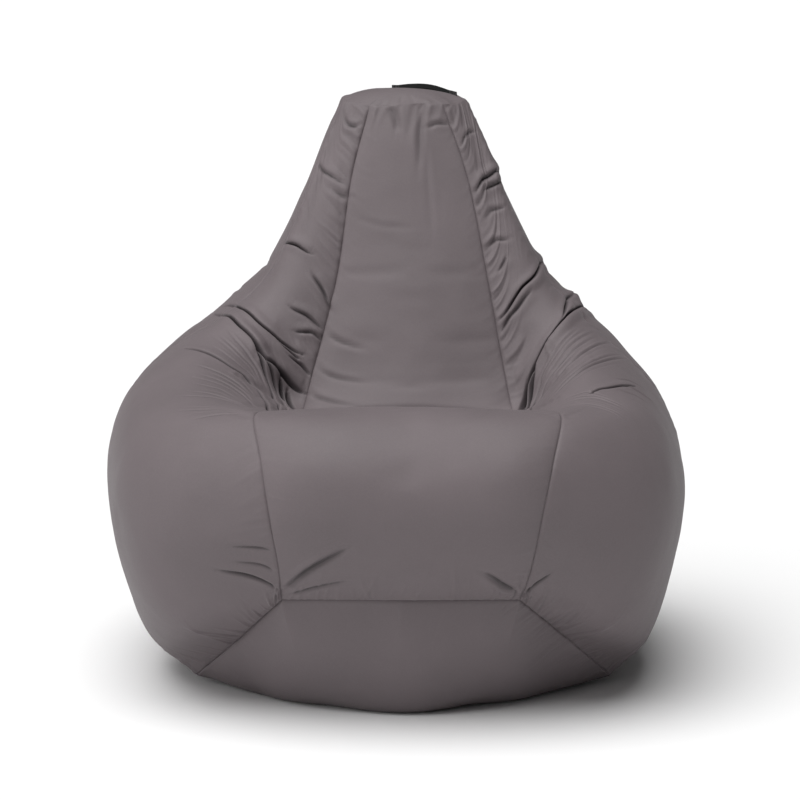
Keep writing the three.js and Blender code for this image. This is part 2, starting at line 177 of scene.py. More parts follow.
def gore_surface(angles, rows):
    """Points of the bag's outer surface, [angle, row, xyz]: round, but cornered near the base seam."""
    turn = angles * len(NET) / 360
    lines, i = up_through(NET, rows), np.floor(turn).astype(int)
    here, there = lines[i % len(NET)], lines[(i + 1) % len(NET)]
    straight = here + (there - here) * (turn - i)[:, None, None]
    share = np.clip(rows / CORNERED_ROWS, 0, 1)[:, None]
    points = straight + (around_through(lines, turn) - straight) * smooth_step(share)
    points[..., 2] = np.maximum(points[..., 2], 0)
    return points


def base_surface(angles, radii):
    """Points of the base panel: cornered at its seam and round toward its middle."""
    turn = angles * len(NET) / 360
    shares = np.array([*BASE_CONTACT, *BASE_CONTACT[-2:0:-1]])[:, None, None]
    contact = around_through(shares, turn)
    cornered, ring = gore_surface(angles, np.array([0.0])), around_through(NET[:, :1], turn)
    radii = radii[None, :, None]
    share = np.clip((radii - BASE_ROUND) / (1 - BASE_ROUND), 0, 1)
    edge = ring + (cornered - ring) * smooth_step(share)
    points = BASE_CENTRE + (edge - BASE_CENTRE) * radii
    rise = np.maximum((radii - contact) / (1 - contact), 0)
    points[..., 2] = np.maximum(edge[..., 2:] * rise**BASE_BULGE, 0)[..., 0]
    return points


def cap_surface(angles, radii):
    edge = gore_surface(angles, np.array([float(LAST_ROW)]))
    centre = NET[:, -1].mean(0) + (0, 0, CAP_DOME)
    radii = radii[None, :, None]
    points = centre + (edge - centre) * radii
    points[..., 2] = (centre[2] + (edge[..., 2:] - centre[2]) * radii**2)[..., 0]
    return points


def unit(v):
    return v / np.maximum(np.linalg.norm(v, axis=-1, keepdims=True), 1e-9)


ANGLE_STEP, ROW_STEP, RADIUS_STEP = 0.3, 0.01, 0.004
ENDS = {
    # end: (its surface, the gores' row at its seam, 1 if it faces down or -1 if up, its panels' word in CAD)
    "base": (base_surface, 0.0, 1, "base_panel"),
    "cap": (cap_surface, float(LAST_ROW), -1, "top_cap"),
}


def gore_normals(angles, rows):
    step = gore_surface(angles + ANGLE_STEP, rows) - gore_surface(angles - ANGLE_STEP, rows)
    above, below = np.minimum(rows + ROW_STEP, LAST_ROW), np.maximum(rows - ROW_STEP, 0)
    return unit(np.cross(step, gore_surface(angles, above) - gore_surface(angles, below)))


def end_normals(end, angles, radii):
    surface, _, facing, _ = ENDS[end]
    step = surface(angles + ANGLE_STEP, radii) - surface(angles - ANGLE_STEP, radii)
    outward = surface(angles, np.minimum(radii + RADIUS_STEP, 1)) - surface(angles, radii - RADIUS_STEP)
    return facing * unit(np.cross(step, outward))


def lengths_along(points, axis):
    """Distance run along one axis of a grid or a line of points, from its start."""
    steps = np.linalg.norm(np.diff(points, axis=axis), axis=-1)
    return np.concatenate([np.zeros_like(steps.take([0], axis)), np.cumsum(steps, axis)], axis)


# ---- Seeded smooth noise ----
LATTICE_SIZE, LATTICE_SHIFT = 32, 100.5  # the shift keeps the lattice's edge away from the bag
LATTICE = np.random.default_rng(7).uniform(-1, 1, (LATTICE_SIZE, LATTICE_SIZE, LATTICE_SIZE))


def noise(points, size):
    """Smooth value noise over space, -1 to 1, with features about as large as size."""
    p = np.asarray(points) / size + LATTICE_SHIFT
    cell = np.floor(p).astype(int)
    f = smooth_step(p - cell)
    total = 0
    for corner in np.ndindex(2, 2, 2):
        weight = np.prod([f[..., k] if corner[k] else 1 - f[..., k] for k in range(3)], axis=0)
        index = [(cell[..., k] + corner[k]) % LATTICE_SIZE for k in range(3)]
        total = total + weight * LATTICE[index[0], index[1], index[2]]
    return total


# ---- Panels' grids ----
GORES = {
    # place: (first angle, columns, rows, crowding of rows where the folds lie, seed)
    "front": (-30, 170, 440, 0.0, 11),
    "front_right": (30, 290, 600, 1.4, 12),
    "back_right": (90, 100, 280, 0.0, 13),
    "back": (150, 100, 280, 0.0, 14),
    "back_left": (210, 100, 280, 0.0, 15),
    "front_left": (270, 290, 600, 1.4, 16),
}
GORE_ANGLE = 60
FINE_COLUMNS = np.array([0, 0.0025, 0.0055, 0.009])
FINE_ROWS = np.array([0, 0.01, 0.02, 0.032, 0.047, 0.065, 0.085])
FIRST_COLUMN, FIRST_ROW = 0.0135, 0.11
FOLD_ROWS, ROW_EASE, ROW_SAMPLES = (4.0, 8.6), 1 / 3, 500


def gore_angles(place):
    first, columns = GORES[place][:2]
    inner = np.linspace(FIRST_COLUMN, 1 - FIRST_COLUMN, columns)
    return first + GORE_ANGLE * np.concatenate([FINE_COLUMNS, inner, 1 - FINE_COLUMNS[::-1]])


def gore_rows(place):
    rows, crowding = GORES[place][2:4]
    s = np.linspace(FIRST_ROW, LAST_ROW - FIRST_ROW, ROW_SAMPLES)
    crowd = np.cumsum(1 + crowding * window(s, *FOLD_ROWS, ROW_EASE))
    inner = np.interp(np.linspace(crowd[0], crowd[-1], rows), crowd, s)
    return np.concatenate([FINE_ROWS, inner, LAST_ROW - FINE_ROWS[::-1]])


RING_ANGLES = np.concatenate([gore_angles(place)[:-1] for place in GORES])
PANEL_RADII = 1 - (1 - np.linspace(0.04, 1, 90)) ** 1.5


# ---- Seams ----
SEAM_DIP, SEAM_DIP_REACH = 1.6 * MM, 14 * MM
GROOVE_DIP, GROOVE_REACH = 1.9 * MM, 1.4 * MM
CAP_SEAM_FAINTER, CAP_SEAM_REACH = 0.85, 16 * MM
CAP_WOBBLE, CAP_WOBBLE_SIZE, CAP_WOBBLE_REACH = 4.2 * MM, 26 * MM, 30 * MM
MITRE_REACH = 12 * MM
ZIP_ANGLE, ZIP_ROWS, ZIP_ROWS_EASE = 150, (4, 8), 0.06
SLOT_HALF_WIDTH, SLOT_EASE = 6 * MM, 40 * MM


def seam_dip(distance, from_cap=None):
    """How a seam draws the cloth in: a broad dip with a narrow groove, fainter near the cap."""
    dip = -SEAM_DIP * fade(distance / SEAM_DIP_REACH) - GROOVE_DIP * fade(distance / GROOVE_REACH)
    return dip if from_cap is None else dip * (1 - CAP_SEAM_FAINTER * fade(from_cap / CAP_SEAM_REACH))


def cap_wobble(points, from_cap):
    """How far the loosely gathered cap seam and the cloth beside it wander up and down."""
    return CAP_WOBBLE * noise(points, CAP_WOBBLE_SIZE) * fade(from_cap / CAP_WOBBLE_REACH)


def nearest_of(*distances):
    """The least of several distances, rounded where two are alike."""
    return sum(np.maximum(d, 1e-6) ** -4.0 for d in distances) ** -0.25


def toward_mitre(end, angles, directions, distance):
    """Turns directions of displacement to the one that a gore and an end panel share at their seam."""
    gore, panel = gore_normals(angles, np.array([ENDS[end][1]])), end_normals(end, angles, np.array([1.0]))
    weight = fade(distance / MITRE_REACH)[..., None]
    return unit(directions * (1 - weight) + unit(gore + panel) * weight)


VALLEY = 1.9 * MM  # no valley beside a seam is deeper, so that the liner stays below it
BASE_SEED, BASE_SPACING, BASE_SAMPLES = 131, 9 * MM, 721
# The range of each pucker's gap, height, width and length as shares, and of its slope.
GAPS, HEIGHTS, WIDTHS, LENGTHS, SLOPES = (0.6, 1.5), (0.25, 1.0), (0.2, 0.36), (0.5, 1.5), (-0.25, 0.25)


def puckers(run, distance, seed, spacing, height, length, lean=0.0):
    """Short ridges and valleys that start at a seam: run is measured along it and distance from it."""
    rng = np.random.default_rng(seed)
    total = np.zeros_like(run)
    end, at = float(run.max()) + 3 * spacing, 0.0
    while at < end:
        at += spacing * rng.uniform(*GAPS)
        tall = height * rng.uniform(*HEIGHTS) * rng.choice((-1, 1, 1))
        wide = spacing * rng.uniform(*WIDTHS)
        far = length * rng.uniform(*LENGTHS)
        slope = lean + rng.uniform(*SLOPES)
        total += tall * bell((run - at - slope * distance) / wide) * bell(distance / far)
    return np.where(total < 0, VALLEY * np.tanh(total / VALLEY), total)


def base_run(angles):
    """Distance along the base seam, from where the front gore starts."""
    first = GORES["front"][0]
    round_it = np.linspace(first, first + 360, BASE_SAMPLES)
    return np.interp(angles, round_it, lengths_along(gore_surface(round_it, np.array([0.0])), 0)[:, 0])


def base_puckers(angles, distance, heights, length, lean):
    """Puckers across the base seam: the same ridges on both sides of it. heights holds (angle, height) pairs,
    and lean turns the ridges toward the front."""
    run = base_run(angles)[:, None] + 0 * distance
    height = np.interp(angles % 360, *np.array(heights).T)[:, None] * MM
    forward = -np.clip(2 * np.sin(np.radians(angles)), -1, 1)[:, None]
    return height * puckers(run, distance, BASE_SEED, BASE_SPACING, 1.0, length, lean * forward)


# ---- Folds ----
# Each fold: its route over the cover as (angle, row) points, then in millimetres the half-width and depth of
# its cleft, the height of the cloth that billows beside it, and how far it leans over the cleft. Many of the
# points at the front, and some of the fans' below, were worked out by a separate converter script and then
# kept, rounded or moved.
FOLDS = [
    # over the left arm
    ([(-100, 6.0), (-90, 6.28), (-76, 6.55), (-66, 6.7), (-54, 6.92), (-45, 7.08), (-37, 7.18)],
     1.9, 8, 3, 3),
    ([(-52, 6.92), (-43, 7.06), (-37, 7.12)], 1.8, 5, 1.5, 1),
    ([(-98, 5.85), (-82, 6.18), (-71, 6.3), (-61, 6.42), (-50, 6.48), (-43, 6.46), (-38, 6.28), (-33, 5.8)],
     2.2, 18, 5, 4.5),
    ([(-62, 6.4), (-56, 6.38), (-50, 6.31), (-42, 6.12), (-34, 5.6)], 2.2, 16, 2, 2),
    ([(-52, 6.5), (-46, 6.66), (-40, 6.76), (-31, 6.8)], 2.6, 10, 3, 3),
    ([(-42, 6.66), (-38, 6.5), (-32, 6.1)], 2.2, 15, 1, 0.5),
    ([(-37, 6.66), (-34, 6.42), (-31, 6.1)], 2.2, 14, 1, 0.5),
    ([(-76, 5.3), (-68, 5.48), (-62, 5.58), (-56, 5.66), (-50, 5.76), (-44, 5.7), (-36, 5.42), (-32, 5.1)],
     2.3, 12, 2, 3),
    ([(-90, 7.5), (-80, 7.7), (-66, 7.93), (-51, 8.05)], 2, 6, 3, 2),
    ([(-45, 7.9), (-36, 7.84), (-28.5, 7.7)], 2.6, 4.5, 2, 1),
    ([(-54, 7.38), (-41, 7.53), (-30, 7.53)], 2.6, 4.5, 2, 1),
    ([(-45, 7.28), (-36, 7.43), (-30, 7.43)], 2.4, 3.5, 1.5, 0.5),
    ([(-44, 6.98), (-36, 7.08), (-30.5, 7.05)], 2.4, 4.5, 1.5, 1),
    ([(-27.5, 7.5), (-22, 7.45), (-14, 7.4)], 4, 2.2, 1, 0),
    ([(-29, 6.8), (-24, 6.74), (-14, 6.66)], 4, 2.2, 1, 0),
    ([(-28, 7.15), (-22, 7.1), (-12, 7.06)], 4, 1.6, 1, 0),
    # over the right arm
    ([(100, 7.05), (89, 7.2), (75, 7.33), (60, 7.5), (45, 7.6), (34, 7.6)], 2, 11, 4, 3.5),
    ([(64, 7.36), (50, 7.47), (39, 7.53), (31.5, 7.48)], 2.2, 5, 2, 1),
    ([(54, 7.98), (46, 8.0), (38, 8.0)], 2.4, 3, 1.5, 0.5),
    ([(103, 6.2), (91, 6.42), (82, 6.48), (74, 6.47)], 2, 7, 3, 2),
    ([(116, 5.55), (104, 5.8), (97, 6.02), (80, 6.3), (64, 6.5), (51, 6.66), (41, 6.68), (34, 6.5),
      (31, 6.2)], 1.9, 17, 6, 5),
    ([(46, 6.64), (40, 6.52), (35, 6.25), (31, 5.8)], 2.4, 17, 2, 1.5),
    ([(39, 6.7), (35.5, 6.5), (32, 6.2)], 2.2, 14, 1, 0.5),
    ([(44, 6.3), (38, 6.14), (32, 5.7)], 2.2, 7, 1.5, 1),
    ([(49, 4.78), (54, 4.73), (58, 4.65), (64, 4.57), (70, 4.46)], 1.7, 9, 2.5, 2.5),
    # the top of the backrest
    ([(-64, 9.8), (-54, 9.71), (-42, 9.68), (-31, 9.73)], 3, 3, 1.5, 0),
    ([(-84, 8.84), (-70, 8.92), (-52, 8.97), (-34, 8.93)], 2.6, 4, 2, 1),
    ([(-46, 8.84), (-36, 8.8), (-27, 8.8)], 4, 2, 1, 0),
    ([(34, 9.42), (44, 9.52), (60, 9.54), (75, 9.47)], 2.6, 3, 1.5, 0.5),
    ([(33, 8.86), (46, 8.93), (60, 8.9), (78, 8.76), (98, 8.5)], 2.2, 6.5, 4, 2),
    ([(50, 8.81), (64, 8.75), (78, 8.6), (96, 8.36)], 2.4, 5, 3.5, 2),
    ([(36, 8.56), (50, 8.56), (64, 8.45), (77, 8.28)], 3.5, 2.5, 1.5, 0),
    ([(33, 8.3), (46, 8.27), (66, 8.03)], 3.5, 2.5, 1.5, 0),
    ([(-13, 10.0), (-9, 9.88), (-5, 9.6)], 7, 3, 1, 0),
    ([(11, 9.9), (7.5, 9.58), (5, 9.1)], 7, 3, 1.5, 0),
    ([(12, 9.68), (20, 9.74), (29, 9.73)], 3.5, 2.5, 1.5, 0),
    ([(10, 9.6), (9, 9.1), (8.5, 8.4)], 8, 1.0, 0.6, 0),
    ([(-24, 8.6), (-12, 8.52), (2, 8.5)], 7, 0.9, 0.5, 0),
    # the crease between the seat and the backrest
    ([(-31, 6.3), (-22, 6.5), (-10, 6.62), (0, 6.65), (12, 6.62), (22, 6.5), (31, 6.3)], 6, 2.6, 0, 0),
    # round the hips and the back, softer
    ([(106, 7.0), (120, 6.84), (136, 6.8)], 7, 4, 3, 0),
    ([(104, 6.45), (120, 6.12), (134, 6.02)], 8, 4, 3, 0),
    ([(112, 8.5), (126, 8.42), (142, 8.5)], 6, 2.5, 2, 0),
    ([(157, 9.2), (170, 9.0), (186, 9.06)], 6, 2.5, 2, 0),
    ([(204, 8.5), (192, 8.3), (178, 8.34)], 6, 2.5, 2, 0),
    ([(250, 7.0), (236, 6.82), (220, 6.76)], 7, 4, 3, 0),
    ([(256, 6.35), (240, 6.05), (224, 5.98)], 8, 4, 3, 0),
    ([(246, 8.7), (234, 8.58), (219, 8.6)], 6, 2.5, 2, 0),
    ([(164, 5.7), (178, 5.5), (198, 5.62)], 9, 3, 2, 0),
    ([(202, 1.1), (206, 1.9), (203, 2.7)], 8, 3.5, 2.5, 0),
    ([(156, 1.2), (161, 2.0), (158, 2.8)], 8, 3.5, 2.5, 0),
    ([(262, 1.0), (257, 1.7), (250, 2.2)], 7, 3, 2, 0),
    ([(98, 1.0), (103, 1.7), (110, 2.2)], 7, 3, 2, 0),
    # at the lower corners of the front
    ([(-43, 1.45), (-38, 1.15), (-34.5, 0.83), (-31, 0.42)], 2.6, 5, 2, 0),
    ([(-39, 1.72), (-34, 1.55), (-30.5, 1.4)], 2.6, 2.5, 1, 0),
    ([(-39, 1.45), (-34, 1.2), (-31, 0.95)], 2.6, 2.5, 1, 0),
    ([(-29.3, 0.35), (-24.5, 0.72), (-20, 1.05), (-13, 1.45)], 5, 5, 3, 0),
    ([(-28, 0.2), (-21.5, 0.4), (-13, 0.62)], 4, 3.5, 2, 0),
    ([(28, 0.3), (24, 0.5), (18, 0.85)], 4.5, 4.5, 3, 0),
    ([(30.4, 0.12), (32.4, 0.6), (35.2, 1.05)], 2.6, 4, 1.5, 0),
]
# Fans of fine wrinkles between two routes of (angle, row) points: the routes, how many, and their depth.
FANS = [
    ([(-72, 5.2), (-58, 5.5), (-50, 5.62), (-43, 5.55), (-36, 5.3)],
     [(-58, 4.2), (-50, 4.5), (-45, 4.7), (-39, 4.72), (-33, 4.5)], 9, 1.7),
    ([(-52, 4.3), (-45, 4.45), (-39, 4.5), (-33, 4.3)],
     [(-50, 3.7), (-44, 3.88), (-38, 4.05), (-33, 4.1)], 4, 1.4),
    ([(-84, 6.05), (-68, 6.1), (-52, 6.2), (-42, 6.0)],
     [(-78, 5.5), (-64, 5.7), (-50, 5.9), (-40, 5.7)], 4, 1.3),
    ([(36, 6.2), (46, 6.42), (57, 6.36), (72, 6.15), (90, 5.8)],
     [(34, 5.3), (44, 5.35), (55, 5.2), (70, 4.95), (86, 4.7)], 11, 1.8),
    ([(33, 5.1), (42, 5.1), (50, 4.85), (54, 4.4), (57, 4.0)],
     [(33, 4.5), (37, 4.5), (42, 4.3), (46, 4.0), (49, 3.7)], 7, 1.6),
    ([(64, 4.8), (72, 4.6), (78, 4.2)], [(56, 4.5), (61, 4.2), (65, 3.8)], 4, 1.2),
]
FAN_SEED, FAN_WIDTH, FAN_TRIM, FAN_PLACES, FAN_DEPTHS = 5, 2.2, 0.3, (0.2, 0.8), (0.35, 1.25)
# Broad hollows where the arms meet the backrest, and bumps (negative depths) on the right side's outline:
# (angle, row), then radius and depth in millimetres.
HOLLOWS = [((-37, 6.5), 34, 16), ((36, 6.4), 30, 14), ((-47, 6.1), 60, 6), ((50, 6.2), 60, 5),
           ((101, 6.2), 16, -9), ((101, 7.12), 14, -5), ((98, 8.6), 14, -4)]
BILLOW, BILLOW_AT, LOWER_BILLOW, LEAN_AT = 6.5, 7.0, 0.45, 4.2
FOLD_SPAN, FAN_SPAN = 28, 8
# How deep a fold must be for full painted shade in its cleft, and that painted shade's width as a share of
# the cleft's half-width.
FULL_CREASE_SHADE, CREASE_SHADE_WIDTH = 10, 1.75
UNDER_DEEPER, UNDER_WIDER = 1.25, 3
FOLD_STEPS, FOLD_TAPER = 130, 0.6


def point_at(place):
    return gore_surface(np.array([place[0]], float), np.array([place[1]], float))[0, 0]


def route_over(places):
    """A smooth line over the surface through (angle, row) points."""
    return np.array([point_at(place) for place in smooth_path(places, FOLD_STEPS)])


def fan_routes():
    """The fans' single wrinkles: each between the fan's routes, with its ends trimmed unevenly."""
    rng = np.random.default_rng(FAN_SEED)
    for first, second, count, depth in FANS:
        first, second = np.array(first, float), np.array(second, float)
        for share in (np.arange(count) + rng.uniform(*FAN_PLACES, count)) / count:
            places = first + (second - first) * share
            at = np.linspace(rng.uniform(0, FAN_TRIM), 1 - rng.uniform(0, FAN_TRIM), 5) * (len(places) - 1)
            places = np.stack([np.interp(at, np.arange(len(places)), places[:, k]) for k in (0, 1)], 1)
            yield route_over(places), depth * rng.uniform(*FAN_DEPTHS)


FOLD_LINES = [(route_over(places), *sizes) for places, *sizes in FOLDS]
FAN_LINES = list(fan_routes())
HOLLOW_SPOTS = [(point_at(place), radius * MM, depth * MM) for place, radius, depth in HOLLOWS]


def beside(points, normals, line, reach):
    """Each point's signed distance from a line in millimetres, the line's sideways direction and a taper."""
    offset = points[:, None] - line
    gap = np.linalg.norm(offset, axis=-1)
    nearest = gap.argmin(-1)
    each = np.arange(len(points))
    side = np.cross(normals, unit(np.gradient(line, axis=0))[nearest])
    signed = (offset[each, nearest] * side).sum(-1)
    at_end = (nearest == 0) | (nearest == FOLD_STEPS - 1)
    beyond = at_end * np.sqrt(np.maximum(gap[each, nearest] ** 2 - signed**2, 0))
    taper = np.sin(np.pi * np.clip(nearest / (FOLD_STEPS - 1), 0.02, 0.98)) ** FOLD_TAPER
    return signed / MM, side, taper * bell(beyond / (reach * MM))


def close_to(points, line, reach):
    margin = reach * MM
    return ((points > line.min(0) - margin) & (points < line.max(0) + margin)).all(-1).nonzero()[0]


def folded(points, normals, under=False):
    """The folds' and hollows' effect: distance along the normals and sideways vector, in metres, and the
    painted shade of the clefts, 0 to 1, by how deep in a cleft each point lies. The layers under the cover
    lie clear of every cleft."""
    flat, facing = points.reshape(-1, 3), normals.reshape(-1, 3)
    lift, slide, crease_shade = np.zeros(len(flat)), np.zeros_like(flat), np.zeros(len(flat))
    for line, width, depth, billow, lean in FOLD_LINES:
        near = close_to(flat, line, FOLD_SPAN)
        if not len(near):
            continue
        x, side, taper = beside(flat[near], facing[near], line, 2 * width)
        if under:
            wide = 2 * width + UNDER_WIDER
            lift[near] -= UNDER_DEEPER * depth * taper * bell(x / wide) * MM
            continue
        cleft = depth * bell(x / width)
        cloth = np.where(x > 0, 1.0, LOWER_BILLOW) * bell((np.abs(x) - BILLOW_AT) / BILLOW)
        lift[near] += taper * (billow * cloth - cleft) * MM
        # painted shade: the colour in a cleft is painted darker, the more so the deeper the fold
        deep = min(depth / FULL_CREASE_SHADE, 1) * taper * bell(x / (CREASE_SHADE_WIDTH * width))
        crease_shade[near] = np.maximum(crease_shade[near], deep)
        leaning = taper * lean * bell((x - LEAN_AT) / BILLOW) * MM
        slide[near] -= leaning[:, None] * side
    for line, depth in FAN_LINES:
        near = close_to(flat, line, FAN_SPAN)
        if len(near):
            x, _, taper = beside(flat[near], facing[near], line, 2 * FAN_WIDTH)
            shape = bell(x / FAN_WIDTH) - 0.5 * bell(x / FAN_WIDTH - 2)
            lift[near] -= depth * (UNDER_DEEPER if under else 1) * taper * shape * MM
    for centre, radius, depth in HOLLOW_SPOTS:
        lift -= depth * bell(np.linalg.norm(flat - centre, axis=-1) / radius)
    shape = points.shape[:-1]
    return lift.reshape(shape), slide.reshape(points.shape), crease_shade.reshape(shape)


# ---- Lumps ----
LUMPS = [(3.0, 0, 0.16), (1.5, 3, 0.075), (0.45, 9, 0.03)]  # height in millimetres, shift, and size in metres


def lumps(points):
    """Soft unevenness of cloth over loose beads."""
    return MM * sum(height * noise(points + shift, size) for height, shift, size in LUMPS)


# ---- Meshes from grids ----
def add_mesh(name, points, faces, uvs=None, sharp_border=True, crease_shade=None):
    """A smooth-shaded object. uvs holds one pair in metres for each vertex, and the painted crease shade one
    value for each vertex.
    """
    mesh = bpy.data.meshes.new(name)
    mesh.from_pydata(points.reshape(-1, 3).tolist(), [], faces)
    mesh.polygons.foreach_set("use_smooth", np.ones(len(mesh.polygons), bool))
    if uvs is not None:
        corners = np.empty(len(mesh.loops), int)
        mesh.loops.foreach_get("vertex_index", corners)
        layer = mesh.uv_layers.new(name="metres")
        layer.data.foreach_set("uv", uvs.reshape(-1, 2)[corners].ravel())
    # the painted crease shade, kept on the mesh for the cover fabric's colour
    if crease_shade is not None:
        mesh.attributes.new("crease_shade", "FLOAT", "POINT").data.foreach_set("value", crease_shade.ravel())
    if sharp_border:
        edges = bmesh.new()
        edges.from_mesh(mesh)
        for edge in edges.edges:
            edge.smooth = not edge.is_boundary
        edges.to_mesh(mesh)
        edges.free()
    return add_object(name, mesh)


def grid_faces(across, up, wrap=False, pole=False, flip=False):
    """Quads of an across by up grid. wrap closes it across; pole closes its first row with one more point."""
    index = np.arange(across * up).reshape(across, up)
    if wrap:
        index = np.concatenate([index, index[:1]])
    quads = np.stack([index[:-1, :-1], index[1:, :-1], index[1:, 1:], index[:-1, 1:]], -1)
    faces = quads.reshape(-1, 4).tolist()
    if pole:
        faces += [[across * up, b, a] for a, b in zip(index[:-1, 0].tolist(), index[1:, 0].tolist())]
    return [face[::-1] for face in faces] if flip else faces


def with_pole(grid):
    """A grid's points, and one more in the middle of its first row."""
    return np.concatenate([grid.reshape(-1, grid.shape[-1]), grid[:, 0].mean(0, keepdims=True)])


# ---- The loosened cover: a cloth simulation held at the seams ----
SIM_COLUMNS, SIM_ROWS, SIM_FRAMES, SIM_QUALITY, SIM_BENDING = 34, 130, 18, 6, 0.4
SIM_SLACK, SIM_PRESSURE, SIM_LIMIT = 1.045, 2.0, 9 * MM
SEAT_ROWS, SEAT_SHARE = (4.3, 7.6), 0.25
NECK_ROW, NECK_SHARE = 7.8, 0.3
TINY = 1e-6


def simulate_cover():
    """How far a net's points over the gores move when cloth a little too large is held at the seams."""
    angles = GORES["front"][0] + np.arange(len(GORES) * SIM_COLUMNS) * GORE_ANGLE / SIM_COLUMNS
    rows = np.linspace(0, LAST_ROW, SIM_ROWS + 1)
    points = gore_surface(angles, rows)
    cloth = add_mesh("loose", points, grid_faces(*points.shape[:2], wrap=True), sharp_border=False)
    held = np.zeros(points.shape[:2])
    held[::SIM_COLUMNS] = held[:, 0] = held[:, -1] = 1
    pins = cloth.vertex_groups.new(name="pins")
    pins.add(held.ravel().nonzero()[0].tolist(), 1.0, "REPLACE")
    cloth.shape_key_add(name="Basis")
    slack = cloth.shape_key_add(name="slack")
    centre = points.mean((0, 1))
    slack.data.foreach_set("co", (centre + (points - centre) * SIM_SLACK).ravel())
    modifier = cloth.modifiers.new("cloth", "CLOTH")
    settings = modifier.settings
    settings.quality = SIM_QUALITY
    settings.vertex_group_mass = "pins"
    settings.rest_shape_key = slack
    settings.use_pressure = True
    settings.uniform_pressure_force = SIM_PRESSURE
    settings.bending_stiffness = SIM_BENDING
    settings.effector_weights.gravity = 0
    modifier.collision_settings.use_collision = False
    scene = bpy.context.scene
    for step in range(1, SIM_FRAMES + 1):
        scene.frame_set(step)
    shape = cloth.evaluated_get(bpy.context.evaluated_depsgraph_get()).data
    moved = np.empty(points.size, np.float32)
    shape.vertices.foreach_get("co", moved)
    scene.frame_set(1)
    bpy.data.objects.remove(cloth)
    return moved.reshape(points.shape) - points


LOOSENED = simulate_cover()


def loosened(angles, rows):
    """The simulated movement at any angles and rows."""
    if LOOSENED is None:
        return np.zeros((len(angles), len(rows), 3))
    turn = (angles - GORES["front"][0]) * len(LOOSENED) / 360
    move = around_through(up_through(LOOSENED, rows * SIM_ROWS / LAST_ROW), turn)
    length = np.linalg.norm(move, axis=-1, keepdims=True)
    in_front = np.cos(np.radians(angles)) > math.cos(math.radians(GORE_ANGLE / 2)) - TINY
    in_seat = window(rows, *SEAT_ROWS, ROW_EASE) * in_front[:, None]
    calm = 1 - (1 - NECK_SHARE) * np.clip(rows - NECK_ROW, 0, 1)
    share = ((1 - (1 - SEAT_SHARE) * in_seat) * calm)[..., None]
    return share * move * SIM_LIMIT * np.tanh(length / SIM_LIMIT) / np.maximum(length, 1e-9)


# ---- The cover's panels ----
# (angle, height in millimetres) of the puckers at the base seam, on the gores and on the base panel.
GORE_PUCKERS = [
    (0, 1.4), (18, 2.2), (27, 2.6), (32, 4.5), (62, 4.2), (90, 2.5), (130, 2), (230, 2), (275, 4), (328, 4.2),
    (333, 1.8), (345, 1.2), (360, 1.4),
]
PANEL_PUCKERS = [
    (0, 0.3), (24, 0.6), (33, 3.2), (60, 2.8), (85, 1.2), (130, 0.8), (270, 0.6), (330, 0.4), (360, 0.3),
]
# Puckers at the other seams: spacing, height, length and lean.
BACKREST_PUCKERS, ARM_PUCKERS = (0.014, 2.6 * MM, 0.032, 0.6), (0.012, 2.6 * MM, 0.028, 0.1)
OUTER_PUCKERS, LONG_SEAM_PUCKERS = (0.018, 1.4 * MM, 0.03), (0.014, 1, 0.024)
FRONT_HEIGHT, BACK_HEIGHT = 2.2 * MM, 1.4 * MM
BASE_ON_GORE, BASE_ON_PANEL = (0.05, 0.15), (0.045, 1.0)  # length and lean
TOP_PUCKERS, CAP_PUCKERS, CAP_SEED = (0.016, 2.0 * MM, 0.03), (0.016, 1.2 * MM, 0.014), 171
BACKREST_HEIGHT, BACKREST_EASE, NEAR_BASE, FAR_SHARE = 0.45, 0.05, 0.07, 0.25
DETAIL_EASE, FOLD_EASE, LUMP_EASE = 3 * MM, 4 * MM, 12 * MM
ZIP_SEAM_DIP = 0.3


def zip_side(place, left, right):
    """A gore's distance from the zip, or None where it has none."""
    return {"back": left, "back_right": right}.get(place)


def zip_window(rows):
    return window(rows, ZIP_ROWS[0] - ZIP_ROWS_EASE, ZIP_ROWS[1] + ZIP_ROWS_EASE, ZIP_ROWS_EASE)


def gore_puckers(place, angles, across, run, height, sides, below, above):
    """Puckers at a gore's four seams: the strongest where a side gore meets the backrest."""
    seed = GORES[place][4]
    inner, outer = sides[::-1] if place == "front_left" else sides
    low = FAR_SHARE + (1 - FAR_SHARE) * fade(below / NEAR_BASE)
    if place in ("front_left", "front_right"):
        backrest = np.clip((height - BACKREST_HEIGHT) / BACKREST_EASE, 0, 1)
        total = backrest * puckers(run, inner, seed, *BACKREST_PUCKERS)
        total += (1 - backrest) * low * puckers(run, inner, seed + 40, *ARM_PUCKERS)
        total += puckers(run, outer, seed + 80, *OUTER_PUCKERS)
    else:
        total = puckers(run, inner, seed, *LONG_SEAM_PUCKERS)
        total += puckers(run, outer, seed + 40, *LONG_SEAM_PUCKERS)
        total = total * (low * FRONT_HEIGHT if place == "front" else BACK_HEIGHT)
    total += base_puckers(angles, below, GORE_PUCKERS, *BASE_ON_GORE)
    return total + puckers(across, above, seed + 160, *TOP_PUCKERS)


def with_lumps(points, detail, edge):
    """Puckers and lumps, which both fade out toward the seams."""
    return detail * (1 - fade(edge / DETAIL_EASE)) + lumps(points) * (1 - fade(edge / LUMP_EASE))


